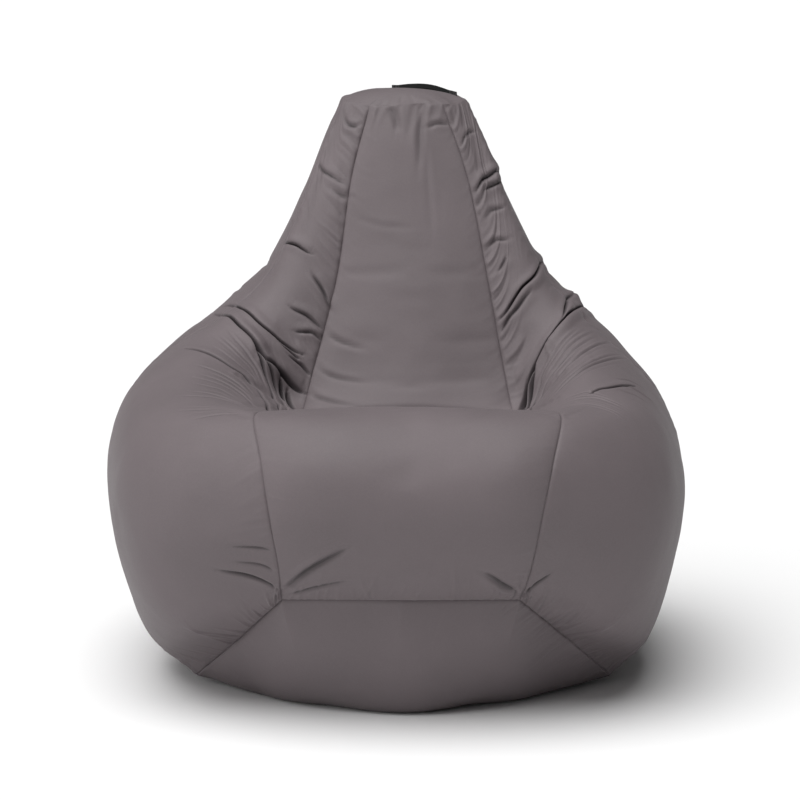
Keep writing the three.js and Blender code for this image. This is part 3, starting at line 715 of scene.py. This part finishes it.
def cover_gore(place):
    """A gore's finished outer face: points, UVs in metres, and the painted shade of its clefts, by how deep
    in a cleft each point lies.
    """
    angles, rows = gore_angles(place), gore_rows(place)
    points, normals = gore_surface(angles, rows), gore_normals(angles, rows)
    across, run = lengths_along(points, 0), lengths_along(points, 1)
    sides = left, right = across, across[-1] - across
    below, above = run, run[:, -1:] - run
    direction = toward_mitre("cap", angles, toward_mitre("base", angles, normals, below), above)
    edge = nearest_of(*sides, below, above)
    lift, slide, crease_shade = folded(points, normals)
    ring = 1 - fade(nearest_of(below, above) / FOLD_EASE)
    lift, slide = lift * ring, slide * ring[..., None]
    detail = gore_puckers(place, angles, across, run, points[..., 2], sides, below, above)
    detail = with_lumps(points, detail, edge)
    dip, loose = seam_dip(edge, above), loosened(angles, rows)
    from_zip = zip_side(place, *sides)
    if from_zip is not None:
        open_here = zip_window(rows)[None, :]
        near = open_here * bell(from_zip / SLOT_EASE)
        detail, loose = detail * (1 - near), loose * (1 - near)[..., None]
        dip = dip * (1 - (1 - ZIP_SEAM_DIP) * near)
        inward = unit(np.gradient(points, axis=0)) * (1 if place == "back" else -1)
        ease = np.clip(1 - from_zip / SLOT_EASE, 0, 1)
        slide = slide + inward * (SLOT_HALF_WIDTH * open_here * ease)[..., None]
    moved = points + direction * (lift + detail + dip)[..., None] + slide + loose
    moved[..., 2] = np.maximum(moved[..., 2] + cap_wobble(points, above), 0)
    return moved, np.stack([across - across[-1] / 2, run], -1), crease_shade


def end_grid(end, angles, radii):
    """An end panel's points, the directions of their displacement, and their distance from its seam."""
    points = ENDS[end][0](angles, radii)
    span = lengths_along(points, 1)
    distance = span[:, -1:] - span
    return points, toward_mitre(end, angles, end_normals(end, angles, radii), distance), distance


def cover_end(end):
    """The finished outer face of the base panel or the cap: points, and UVs in metres."""
    points, direction, distance = end_grid(end, RING_ANGLES, PANEL_RADII)
    if end == "base":
        detail = base_puckers(RING_ANGLES, distance, PANEL_PUCKERS, *BASE_ON_PANEL)
        dip, wobble = seam_dip(distance), 0
    else:
        detail = puckers(lengths_along(points[:, -1:], 0) + 0 * distance, distance, CAP_SEED, *CAP_PUCKERS)
        dip, wobble = seam_dip(distance, distance), cap_wobble(points, distance)
    moved = points + direction * (dip + with_lumps(points, detail, distance))[..., None]
    moved[..., 2] = np.maximum(moved[..., 2] + wobble, 0)
    return with_pole(moved), with_pole(points[..., :2])


def flat_size(points, wrap=False):
    """Widest width, length and area of the flat cut that covers a grid of points."""
    if wrap:
        points = np.concatenate([points, points[:1]])
    a, b = points[1:, :-1] - points[:-1, :-1], points[:-1, 1:] - points[:-1, :-1]
    area = float(np.linalg.norm(np.cross(a, b), axis=-1).sum())
    return float(lengths_along(points, 0)[-1].max()), float(lengths_along(points, 1)[:, -1].max()), area


FLAT_COLUMNS, FLAT_ROWS = 40, 80
finish = {}
LAYERS = {"cover": ("cover_fabric", 1.2 * MM), "liner": ("liner_nonwoven", 0.8 * MM)}


def on_bag(piece, material, *nodes):
    """Finishes a piece that rides on the bag: gives it its material and ties it to the bag. One that stands
    for CAD nodes hides them.
    """
    piece.data.materials.append(finish[material])
    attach(piece, "bag")
    if nodes:
        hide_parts(*nodes)


def sewn_panel(piece, node, layer):
    material, thickness = LAYERS[layer]
    shell = piece.modifiers.new("thickness", "SOLIDIFY")
    shell.thickness = thickness
    shell.offset = -1
    shell.use_quality_normals = True
    on_bag(piece, material, node)


def sewn_gore(layer, place, points, uvs, crease_shade=None):
    piece = add_mesh(f"{layer}_{place}", points, grid_faces(*points.shape[:2]), uvs, crease_shade=crease_shade)
    angles = GORES[place][0] + np.linspace(0, GORE_ANGLE, FLAT_COLUMNS)
    width, length, area = flat_size(gore_surface(angles, np.linspace(0, LAST_ROW, FLAT_ROWS)))
    sewn_panel(piece, f"{layer}_gore_{place}", layer)


def sewn_end(layer, end, points, uvs, ring):
    """ring is the grid that the panel's flat cut covers."""
    _, _, facing, word = ENDS[end]
    faces = grid_faces(*ring.shape[:2], wrap=True, pole=True, flip=facing < 0)
    piece = add_mesh(f"{layer}_{end}", points, faces, uvs)
    low, high = ring.reshape(-1, 3).min(0), ring.reshape(-1, 3).max(0)
    width, length = float(high[0] - low[0]), float(high[1] - low[1])
    area = min(flat_size(ring, wrap=True)[2], width * length)
    sewn_panel(piece, f"{layer}_{word}", layer)


def make_cover():
    for place in GORES:
        sewn_gore("cover", place, *cover_gore(place))
    for end in ENDS:
        sewn_end("cover", end, *cover_end(end), ENDS[end][0](RING_ANGLES, PANEL_RADII))


# ---- The liner and the beads inside ----
LINER_DEPTH, BEAD_DEPTH = 3.2 * MM, 4.6 * MM
ZIP_POCKET, ZIP_POCKET_REACH = 4.5 * MM, 30 * MM
END_ROWS = np.array([0, 0.04, 0.1])
INNER_ROWS = np.concatenate([END_ROWS, np.linspace(0.2, LAST_ROW - 0.2, 110), LAST_ROW - END_ROWS[::-1]])
INNER_COLUMNS = 26
INNER_RADII = np.linspace(0.06, 1, 24)


def inner_gore(first, span, columns, depth):
    """A layer under the cover: it follows the broad shape and lies clear of every fold."""
    angles, rows = first + np.linspace(0, span, columns + 1), INNER_ROWS
    points, normals = gore_surface(angles, rows), gore_normals(angles, rows)
    run = lengths_along(points, 1)
    above = run[:, -1:] - run
    direction = toward_mitre("cap", angles, toward_mitre("base", angles, normals, run), above)
    past_seam = (angles - GORES["front_right"][0] + GORE_ANGLE / 2) % GORE_ANGLE - GORE_ANGLE / 2
    width = lengths_along(points, 0)[-1][None, :] * GORE_ANGLE / span
    edge = nearest_of(np.abs(past_seam / GORE_ANGLE)[:, None] * width, run, above)
    lift = folded(points, normals, under=True)[0] + seam_dip(edge) + lumps(points)
    from_zip = ((angles - ZIP_ANGLE) / GORE_ANGLE)[:, None] * width
    at_zip = bell(from_zip / ZIP_POCKET_REACH) * zip_window(rows)
    moved = points + direction * (lift - depth - ZIP_POCKET * at_zip)[..., None] + loosened(angles, rows)
    moved[..., 2] = np.maximum(moved[..., 2], depth)
    return moved, np.stack([lengths_along(points, 0), run], -1)


def inner_end(end, angles, depth):
    points, direction, distance = end_grid(end, angles, INNER_RADII)
    moved = points + direction * (seam_dip(distance) + lumps(points) * (distance > 0) - depth)[..., None]
    moved[..., 2] = np.maximum(moved[..., 2], depth)
    return moved, points[..., :2]


def make_beads(angles):
    """The body of beads: the base, the sides and the cap joined into one closed skin."""
    around = len(angles)
    sides = inner_gore(angles[0], 360 * (around - 1) / around, around - 1, BEAD_DEPTH)[0]
    base, cap = (inner_end(end, angles, BEAD_DEPTH)[0] for end in ENDS)
    body = np.concatenate([base[:, :-1], sides, cap[:, -2::-1]], 1)
    faces = grid_faces(*body.shape[:2], wrap=True, pole=True)
    top, last = around * body.shape[1] + 1, np.arange(around) * body.shape[1] + body.shape[1] - 1
    faces += [[int(a), int(b), top] for a, b in zip(last, np.roll(last, -1))]
    points = np.concatenate([with_pole(body), body[:, -1].mean(0, keepdims=True)])
    beads = add_mesh("bead_body", points, faces, sharp_border=False)
    on_bag(beads, "foam_beads", "bead_filling")


def make_inside():
    around = len(GORES) * INNER_COLUMNS
    angles = GORES["front"][0] + np.arange(around) * 360 / around
    make_beads(angles)
    for place, (first, *_) in GORES.items():
        sewn_gore("liner", place, *inner_gore(first, GORE_ANGLE, INNER_COLUMNS, LINER_DEPTH))
    for end in ENDS:
        grid, uvs = inner_end(end, angles, LINER_DEPTH)
        sewn_end("liner", end, with_pole(grid), with_pole(uvs), grid)


# ---- Flat bands: the strap and the zip's tapes ----
def tube_faces(count, ring, first=0):
    """Faces of a closed tube of count rings, whose points start at number first."""
    index = first + np.arange(count * ring).reshape(count, ring)
    round_it = np.concatenate([index, index[:, :1]], 1)
    quads = np.stack([round_it[:-1, :-1], round_it[1:, :-1], round_it[1:, 1:], round_it[:-1, 1:]], -1)
    return [*quads.reshape(-1, 4).tolist(), index[0].tolist(), index[-1, ::-1].tolist()]


def point_along(line, run, at):
    """The point of a line at a distance along it."""
    return np.array([np.interp(at, run, line[:, axis]) for axis in range(3)])


BAND_ROUNDING, EDGE_POINTS, FACE_POINTS = 0.45, 5, (0.85, 0.5, 0, -0.5, -0.85)


def band(name, path, across, width, thickness):
    """A closed flat band along a path, with rounded edges. across is its widthwise direction."""
    up = unit(np.cross(across, np.gradient(path, axis=0)))
    half, high = width / 2, thickness / 2
    section = []
    for side in (1, -1):
        for turn in np.radians(np.linspace(-90, 90, EDGE_POINTS)) * side:
            inset = high * BAND_ROUNDING * (1 - math.cos(turn))
            section.append((side * (half - inset), high * math.sin(turn)))
        section.extend((side * half * share, side * high) for share in FACE_POINTS)
    section = np.array(section)
    points = path[:, None] + across * section[None, :, :1] + up[:, None] * section[None, :, 1:]
    uvs = np.stack(np.broadcast_arrays(section[None, :, 0], lengths_along(path, 0)[:, None]), -1)
    piece = add_mesh(name, points, tube_faces(*points.shape[:2]), uvs, sharp_border=False)
    mesh = bmesh.new()
    mesh.from_mesh(piece.data)
    bmesh.ops.recalc_face_normals(mesh, faces=mesh.faces)
    mesh.to_mesh(piece.data)
    mesh.free()
    return piece


THREAD_RADIUS, THREAD_SIDES, THREAD_STEPS = 0.28 * MM, 6, 5
THREAD_ARCH, THREAD_SUNK, THREAD_TIP = 1.2, 0.3, 0.55


def threads(name, stitches):
    """Stitches as short arched threads. Each is (start, end, outward direction)."""
    points, faces = [], []
    for start, end, out in stitches:
        start, end, out = (np.asarray(v, float) for v in (start, end, out))
        over = np.cross(out, unit(end - start))
        faces += [face[::-1] for face in tube_faces(THREAD_STEPS, THREAD_SIDES, len(points))]
        for s in np.linspace(0, 1, THREAD_STEPS):
            arch = math.sin(math.pi * s)
            middle = start + (end - start) * s + out * THREAD_RADIUS * (THREAD_ARCH * arch - THREAD_SUNK)
            slim = THREAD_RADIUS * (THREAD_TIP + (1 - THREAD_TIP) * arch)
            for turn in np.arange(THREAD_SIDES) * 2 * math.pi / THREAD_SIDES:
                points.append(middle + slim * (math.cos(turn) * over + math.sin(turn) * out))
    return add_mesh(name, np.array(points), faces, sharp_border=False)


# ---- The strap on the cap ----
STRAP_Y, STRAP_WIDTH, STRAP_THICKNESS = 260 * MM, 26 * MM, 1.6 * MM
STRAP_ROUTE = [  # (x, z) in millimetres, from one sewn end to the other
    (-8, 875.4), (2, 875.3), (6, 875.8), (12, 876.4), (20, 877.1), (34, 877.6), (47, 877.0), (60, 874.9),
    (72, 871.3), (80.3, 868.3), (86, 866.7), (96, 864.3),
]
STRAP_CROWN, STRAP_STEPS, STRAP_FINE_STEPS = STRAP_ROUTE[5][0], 90, 240
STRAP_BEND, STRAP_TILT = (875.9, 877.4), math.radians(12)


def strap_line(count):
    """The strap's middle line and its widthwise direction."""
    x, z = smooth_path(STRAP_ROUTE, count).T
    line = np.stack([x * MM, np.full(count, STRAP_Y), z * MM], 1)
    return line, np.array([0, math.cos(STRAP_TILT), math.sin(STRAP_TILT)])


def make_strap():
    strap = band("strap", *strap_line(STRAP_STEPS), STRAP_WIDTH, STRAP_THICKNESS)
    strap.data.materials.append(finish["webbing"])
    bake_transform(strap)
    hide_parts("handle_end_left", "handle_loop", "handle_end_right")


# ---- The zip: X across, Y up along the seam, Z outward, in millimetres ----
ZIP_START, ZIP_END = point_at((ZIP_ANGLE, ZIP_ROWS[0])), point_at((ZIP_ANGLE, ZIP_ROWS[1]))
ZIP_LENGTH = float(np.linalg.norm(ZIP_END - ZIP_START)) / MM
ZIP_ALONG = unit(ZIP_END - ZIP_START)
ZIP_FACING = gore_normals(np.array([float(ZIP_ANGLE)]), np.array([sum(ZIP_ROWS) / 2]))[0, 0]
ZIP_OUT = unit(ZIP_FACING - ZIP_ALONG * (ZIP_FACING @ ZIP_ALONG))
ZIP_ACROSS = np.cross(ZIP_ALONG, ZIP_OUT)
TAPE_INNER, TAPE_OUTER, TAPE_LOW, TAPE_HIGH, TAPE_OVERRUN, TAPE_STEPS = 0.7, 13, -3.9, -3.3, 4, 80
COIL_PITCH, COIL_INNER, COIL_OUTER, COIL_LOW, COIL_HIGH, COIL_WIRE = 1.5, -0.35, 3.2, -3.05, -0.8, 0.32
COIL_FROM_END, COIL_STEPS, COIL_FLATNESS, HEAD_FLATNESS, WIRE_SIDES = 2, 14, 0.8, 0.7, 6
SLIDER_AT, SLIDER_REACH, COIL_PARTING = 16, 6, 0.9
STITCH_PITCH, STITCH_LENGTH, STITCH_START, STITCH_STOP = 3.6 * MM, 2.9 * MM, 2 * MM, 4 * MM
STITCH_INSETS, STITCH_ROW_MARGIN, NEAR_COLUMNS = (2.2 * MM, 7 * MM), 0.02, 24
EDGE_WEAR = 0.25 * MM


def zip_point(x, y, z):
    """A place in the zip's frame as a point, or as points where x, y and z are arrays."""
    x, y, z = (np.asarray(v, float)[..., None] for v in (x, y, z))
    return ZIP_START + (ZIP_ACROSS * x + ZIP_ALONG * y + ZIP_OUT * z) * MM


def squarer(wave, power):
    return np.sign(wave) * np.abs(wave) ** power


def coil(name, side):
    """One side's coil: a flat helix of wire whose heads reach between the other side's heads."""
    turns = (ZIP_LENGTH - 2 * COIL_FROM_END) / COIL_PITCH
    s = np.arange(int(turns * COIL_STEPS)) / COIL_STEPS
    y = COIL_FROM_END + COIL_PITCH * (s + (0.5 if side > 0 else 0))
    turn = 2 * np.pi * s
    wide, high = (COIL_OUTER - COIL_INNER) / 2, (COIL_HIGH - COIL_LOW) / 2
    pinch = np.where(y < SLIDER_AT + SLIDER_REACH, COIL_PARTING, 0)
    x = COIL_INNER + wide + pinch - wide * squarer(np.cos(turn), HEAD_FLATNESS)
    z = COIL_LOW + high + high * squarer(np.sin(turn), COIL_FLATNESS)
    path = zip_point(side * np.minimum(x, COIL_OUTER), y, z)
    tangent = unit(np.gradient(path, axis=0))
    over = unit(np.cross(tangent, ZIP_ALONG))
    other = np.cross(tangent, over)
    around = np.arange(WIRE_SIDES) * 2 * np.pi / WIRE_SIDES
    ring = np.cos(around)[None, :, None] * over[:, None] + np.sin(around)[None, :, None] * other[:, None]
    points = (path[:, None] + ring * COIL_WIRE * MM).transpose(1, 0, 2)
    return add_mesh(name, points, grid_faces(*points.shape[:2], wrap=True, flip=True), sharp_border=False)


def tape(name, side):
    """One side's woven tape, from the coil to under the cover."""
    s = np.linspace(-TAPE_OVERRUN, ZIP_LENGTH + TAPE_OVERRUN, TAPE_STEPS)
    middle, level = (TAPE_INNER + TAPE_OUTER) / 2, (TAPE_LOW + TAPE_HIGH) / 2
    path = zip_point(side * middle + 0 * s, s, level + 0 * s)
    return band(name, path, ZIP_ACROSS, (TAPE_OUTER - TAPE_INNER) * MM, (TAPE_HIGH - TAPE_LOW) * MM)


def zip_stitches(side):
    """Rows of stitching that hold a tape under the cover's edge."""
    place = "back" if side > 0 else "back_right"
    points, rows = cover_gore(place)[0], gore_rows(place)
    low, high = ZIP_ROWS[0] + STITCH_ROW_MARGIN, ZIP_ROWS[1] - STITCH_ROW_MARGIN
    inside = ((rows > low) & (rows < high)).nonzero()[0]
    lines = (points if side > 0 else points[::-1])[:NEAR_COLUMNS, inside]
    from_edge = lengths_along(lines, 0)
    stitches = []
    for inset in STITCH_INSETS:
        line = np.array([point_along(lines[:, k], from_edge[:, k], inset) for k in range(len(inside))])
        run = lengths_along(line, 0)
        for start in np.arange(STITCH_START, run[-1] - STITCH_STOP, STITCH_PITCH):
            end = start + STITCH_LENGTH
            stitches.append((point_along(line, run, start), point_along(line, run, end), ZIP_OUT))
    return stitches


def make_zip():
    for word, side in (("right", 1), ("left", -1)):
        on_bag(coil(f"coil_{word}", side), "zip_coil", f"zip_coil_{word}")
        on_bag(tape(f"tape_{word}", side), "zip_tape", f"zip_tape_{word}")
        on_bag(threads(f"zip_stitching_{word}", zip_stitches(side)), "thread")
    for node in ("zip_top_stop_left", "zip_top_stop_right", "zip_bottom_stop", "zip_slider", "zip_pull"):
        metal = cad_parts[node]
        metal.data.materials.clear()
        metal.data.materials.append(finish["zip_metal"])
        bevel = metal.modifiers.new("worn edges", "BEVEL")
        bevel.width = EDGE_WEAR
        bevel.segments = 2
        bevel.limit_method = "ANGLE"
        bevel.angle_limit = math.radians(40)


# ---- Box stitching on the strap's ends ----
BOX_MARGIN, BOX_PITCH = 3 * MM, 2.4 * MM
FIRST_BOX, LAST_BOX = (2.5 * MM, 11 * MM), (12 * MM, 2.5 * MM)  # from the strap's two ends


def strap_stitches():
    """A sewn rectangle with a cross in it on each end of the strap."""
    path, widthwise = strap_line(STRAP_FINE_STEPS)
    run, tangents = lengths_along(path, 0), unit(np.gradient(path, axis=0))
    half, lift = STRAP_WIDTH / 2 - BOX_MARGIN, STRAP_THICKNESS / 2

    def spot(along, across):
        out = unit(np.cross(point_along(tangents, run, along), widthwise))
        return point_along(path, run, along) + out * lift + widthwise * across, out

    stitches = []
    for low, high in (FIRST_BOX, (run[-1] - LAST_BOX[0], run[-1] - LAST_BOX[1])):
        box = [(low, -half), (high, -half), (high, half), (low, half), (low, -half), (high, half)]
        runs = list(zip(box[:-1], box[1:])) + [((low, half), (high, -half))]
        for start, end in runs:
            start, end = np.array(start), np.array(end)
            count = max(2, round(float(np.linalg.norm(end - start)) / BOX_PITCH))
            for k in range(count):
                a, out = spot(*(start + (end - start) * (k + 0.1) / count))
                b = spot(*(start + (end - start) * (k + 0.9) / count))[0]
                stitches.append((a, b, out))
    return stitches


# ---- Materials ----
class Shader:
    """A material under construction. Most methods add a node and return its output."""

    def __init__(self, name):
        self.material = bpy.data.materials.new(name)
        self.material.use_nodes = True
        self.nodes, self.links = self.material.node_tree.nodes, self.material.node_tree.links
        self.surface = self.nodes["Principled BSDF"]

    def plug(self, socket, value):
        if isinstance(value, bpy.types.NodeSocket):
            self.links.new(value, socket)
        elif value is not None:
            socket.default_value = value

    def set(self, **values):
        for name, value in values.items():
            self.plug(self.surface.inputs[name.replace("_", " ")], value)

    def add(self, kind, output=0, **inputs):
        node = self.nodes.new(f"ShaderNode{kind}")
        for name, value in inputs.items():
            self.plug(node.inputs[name], value)
        return node.outputs[output]

    def math(self, operation, *values):
        node = self.nodes.new("ShaderNodeMath")
        node.operation = operation
        for socket, value in zip(node.inputs, values):
            self.plug(socket, value)
        return node.outputs[0]

    def texture(self, kind, vector, **inputs):
        return self.add(f"Tex{kind}", Vector=vector, **inputs)

    def place(self, kind="Object"):
        return self.add("TexCoord", kind)

    def attribute(self, name):
        node = self.nodes.new("ShaderNodeAttribute")
        node.attribute_name = name
        return node.outputs["Fac"]

    def split(self, vector):
        node = self.nodes.new("ShaderNodeSeparateXYZ")
        self.plug(node.inputs[0], vector)
        return node.outputs[0], node.outputs[1]

    def ramp(self, value, low, high, out_low, out_high):
        node = self.nodes.new("ShaderNodeMapRange")
        for socket, v in zip(node.inputs, (value, low, high, out_low, out_high)):
            self.plug(socket, v)
        return node.outputs[0]

    def mix(self, factor, a, b):
        node = self.nodes.new("ShaderNodeMix")
        node.data_type = "RGBA"
        for number, value in ((0, factor), (6, a), (7, b)):  # 6 and 7 are the colours, and output 2 their mix
            self.plug(node.inputs[number], value)
        return node.outputs[2]

    def bump(self, height, strength, distance, normal=None):
        return self.add("Bump", Strength=strength, Distance=distance, Height=height, Normal=normal)

    def weave(self, pitch):
        """Height of a plain weave, 0 to 1, from UVs in metres."""
        u, v = (self.math("DIVIDE", axis, pitch) for axis in self.split(self.place("UV")))
        heights = []
        for yarn, along in ((u, v), (v, u)):
            crown = self.math("ABSOLUTE", self.math("SINE", self.math("MULTIPLY", yarn, math.pi)))
            shift = self.math("ADD", along, self.math("FLOOR", yarn))
            phase = self.math("ADD", shift, 0.0 if yarn is u else 1.0)
            over = self.math("COSINE", self.math("MULTIPLY", phase, math.pi))
            heights.append(self.math("MULTIPLY", crown, self.ramp(over, -1, 1, 0.25, 1)))
        return self.math("MAXIMUM", *heights)


def grey(level):
    return (level, level, level, 1)


def cover_fabric():
    """Taupe coated polyester: a fine plain weave with a soft sheen, paler on ridges, with painted shade in
    the weave's valleys and in creases and clefts.
    """
    s = Shader("cover_fabric")
    weave, spot = s.weave(0.55 * MM), s.place()
    broad = s.texture("Noise", spot, Scale=7.0, Detail=3.0)
    fine = s.texture("Noise", spot, Scale=420.0, Detail=2.0)
    base = s.mix(s.ramp(broad, 0.35, 0.65, 0, 1), FABRIC_DARK, FABRIC_LIGHT)
    base = s.mix(s.ramp(fine, 0.3, 0.7, 0, 0.22), base, FABRIC_SPECK)
    point = s.add("NewGeometry", "Pointiness")
    base = s.mix(s.ramp(point, 0.51, 0.58, 0, 0.15), base, FABRIC_WORN)
    # painted shade: concave places, found by low pointiness, are darkened
    base = s.mix(s.ramp(point, 0.43, 0.492, 0.9, 0), base, FABRIC_CREASE_SHADE)
    # painted shade: the folds' clefts are darkened by the painted crease shade stored on the mesh
    base = s.mix(s.ramp(s.attribute("crease_shade"), 0.12, 0.8, 0, 0.9), base, FABRIC_CREASE_SHADE)
    base = s.mix(s.ramp(weave, 0.2, 0.9, 0.16, 0), base, FABRIC_SHADE)
    crumple = s.texture("Noise", spot, Scale=60.0, Detail=4.0)
    normal = s.bump(crumple, 0.25, 1.2 * MM)
    normal = s.bump(weave, 0.35, 0.12 * MM, normal)
    s.set(Base_Color=base, Roughness=s.ramp(broad, 0.3, 0.7, 0.56, 0.66), Normal=normal)
    s.set(Sheen_Weight=0.04, Sheen_Roughness=0.4, Specular_IOR_Level=0.3)
    return s.material


def liner_nonwoven():
    """White spun-bond liner: bonded dots over random fibres."""
    s = Shader("liner_nonwoven")
    dots = s.texture("Voronoi", s.place("UV"), Scale=700.0, Randomness=0.15)
    fibres = s.texture("Noise", s.place("UV"), Scale=1800.0, Detail=5.0, Distortion=1.5)
    base = s.mix(s.ramp(fibres, 0.3, 0.7, 0, 1), grey(0.62), grey(0.78))
    normal = s.bump(s.math("ADD", dots, fibres), 0.4, 0.2 * MM)
    s.set(Base_Color=base, Roughness=s.ramp(dots, 0, 0.5, 0.7, 0.9), Normal=normal)
    return s.material


def foam_beads():
    """Packed white beads, 3 to 5 mm across, with painted shade in the gaps between them."""
    s = Shader("foam_beads")
    cells = s.texture("Voronoi", s.place(), Scale=240.0)
    dome = s.ramp(cells, 0, 0.6, 1, 0)
    # painted shade: each bead pale in its middle and darker towards the gaps
    base = s.mix(dome, grey(0.45), grey(0.86))
    s.set(Base_Color=base, Roughness=s.ramp(cells, 0, 0.6, 0.55, 0.85), Normal=s.bump(dome, 1.0, 1.5 * MM))
    return s.material


def woven_band(name, dark, light, pitch, roughness):
    """Webbing or tape: a coarse weave with a little fuzz, and painted shade in the weave's valleys."""
    s = Shader(name)
    weave = s.weave(pitch)
    fuzz = s.texture("Noise", s.place(), Scale=900.0, Detail=3.0)
    # painted shade: the weave's valleys darker, its crowns lighter
    base = s.mix(s.ramp(weave, 0.2, 0.95, 0, 1), dark, light)
    base = s.mix(s.ramp(fuzz, 0.4, 0.7, 0, 0.2), base, light)
    s.set(Base_Color=base, Roughness=s.ramp(fuzz, 0.3, 0.7, roughness - 0.08, roughness + 0.08))
    s.set(Normal=s.bump(weave, 0.8, 0.25 * pitch), Sheen_Weight=0.01, Specular_IOR_Level=0.12)
    return s.material


def smooth_plastic(name, colour, roughness):
    """Nylon wire or sewing thread, with slight unevenness along it."""
    s = Shader(name)
    uneven = s.texture("Noise", s.place(), Scale=700.0, Detail=2.0)
    base = s.mix(s.ramp(uneven, 0.3, 0.7, 0, 0.3), colour, grey(0.02))
    s.set(Base_Color=base, Roughness=s.ramp(uneven, 0.3, 0.7, roughness - 0.08, roughness + 0.08))
    s.set(Normal=s.bump(uneven, 0.3, 0.05 * MM))
    return s.material


def zip_metal():
    """Dark nickel plating, scuffed and brighter on its edges."""
    s = Shader("zip_metal")
    scuffs = s.texture("Noise", s.place(), Scale=900.0, Detail=6.0)
    edges = s.ramp(s.add("NewGeometry", "Pointiness"), 0.5, 0.6, 0, 0.6)
    base = s.mix(edges, grey(0.16), grey(0.4))
    s.set(Base_Color=base, Metallic=1.0, Roughness=s.ramp(scuffs, 0.35, 0.65, 0.28, 0.48))
    s.set(Normal=s.bump(scuffs, 0.15, 0.05 * MM))
    return s.material


FABRIC_DARK, FABRIC_LIGHT = (0.137, 0.115, 0.121, 1), (0.153, 0.128, 0.135, 1)
FABRIC_SPECK, FABRIC_WORN = (0.19, 0.162, 0.17, 1), (0.21, 0.182, 0.19, 1)
# Painted shade colours: FABRIC_SHADE for the weave's valleys, the other for creases and clefts.
FABRIC_SHADE, FABRIC_CREASE_SHADE = (0.062, 0.052, 0.055, 1), (0.03, 0.025, 0.027, 1)
finish["cover_fabric"] = cover_fabric()
finish["liner_nonwoven"] = liner_nonwoven()
finish["foam_beads"] = foam_beads()
finish["webbing"] = woven_band("webbing", grey(0.004), grey(0.01), 1.6 * MM, 0.75)
finish["zip_tape"] = woven_band("zip_tape", (0.08, 0.068, 0.071, 1), (0.15, 0.13, 0.135, 1), 0.8 * MM, 0.75)
finish["zip_coil"] = smooth_plastic("zip_coil", (0.11, 0.095, 0.1, 1), 0.4)
finish["thread"] = smooth_plastic("thread", (0.09, 0.078, 0.081, 1), 0.6)
finish["zip_metal"] = zip_metal()

make_cover()
make_inside()
make_strap()
on_bag(threads("strap_stitching", strap_stitches()), "thread")
make_zip()

# ---- Studio ----
KEY_DIRECTION, KEY_STRENGTH, KEY_SIZE = (-0.18, -0.24, 1.0), 3.3, 52
SIDE_DIRECTION, SIDE_STRENGTH, SIDE_SIZE = (-0.8, -0.4, 0.42), 0.9, 60
WORLD_STRENGTH, FLOOR_HALF = 0.1, 120.0


def sun(name, direction, strength, size):
    data = bpy.data.lights.new(name, "SUN")
    data.energy = strength
    data.angle = math.radians(size)
    lamp = add_object(name, data)
    lamp.rotation_mode = "QUATERNION"
    lamp.rotation_quaternion = Vector(direction).to_track_quat("Z", "Y")


def make_studio():
    corners = FLOOR_HALF * np.array([(-1, -1, 0), (1, -1, 0), (1, 1, 0), (-1, 1, 0)])
    floor = add_mesh("floor", corners, [[0, 1, 2, 3]], sharp_border=False)
    paper = Shader("floor")
    paper.set(Base_Color=grey(0.86), Roughness=0.9, Specular_IOR_Level=0.1)
    floor.data.materials.append(paper.material)
    sun("key", KEY_DIRECTION, KEY_STRENGTH, KEY_SIZE)
    sun("side", SIDE_DIRECTION, SIDE_STRENGTH, SIDE_SIZE)
    world = bpy.data.worlds.new("studio")
    world.use_nodes = True
    light = world.node_tree.nodes["Background"].inputs
    light["Color"].default_value = (1, 1, 1, 1)
    light["Strength"].default_value = WORLD_STRENGTH
    bpy.context.scene.world = world
    bpy.context.scene.view_settings.view_transform = "Standard"


make_studio()
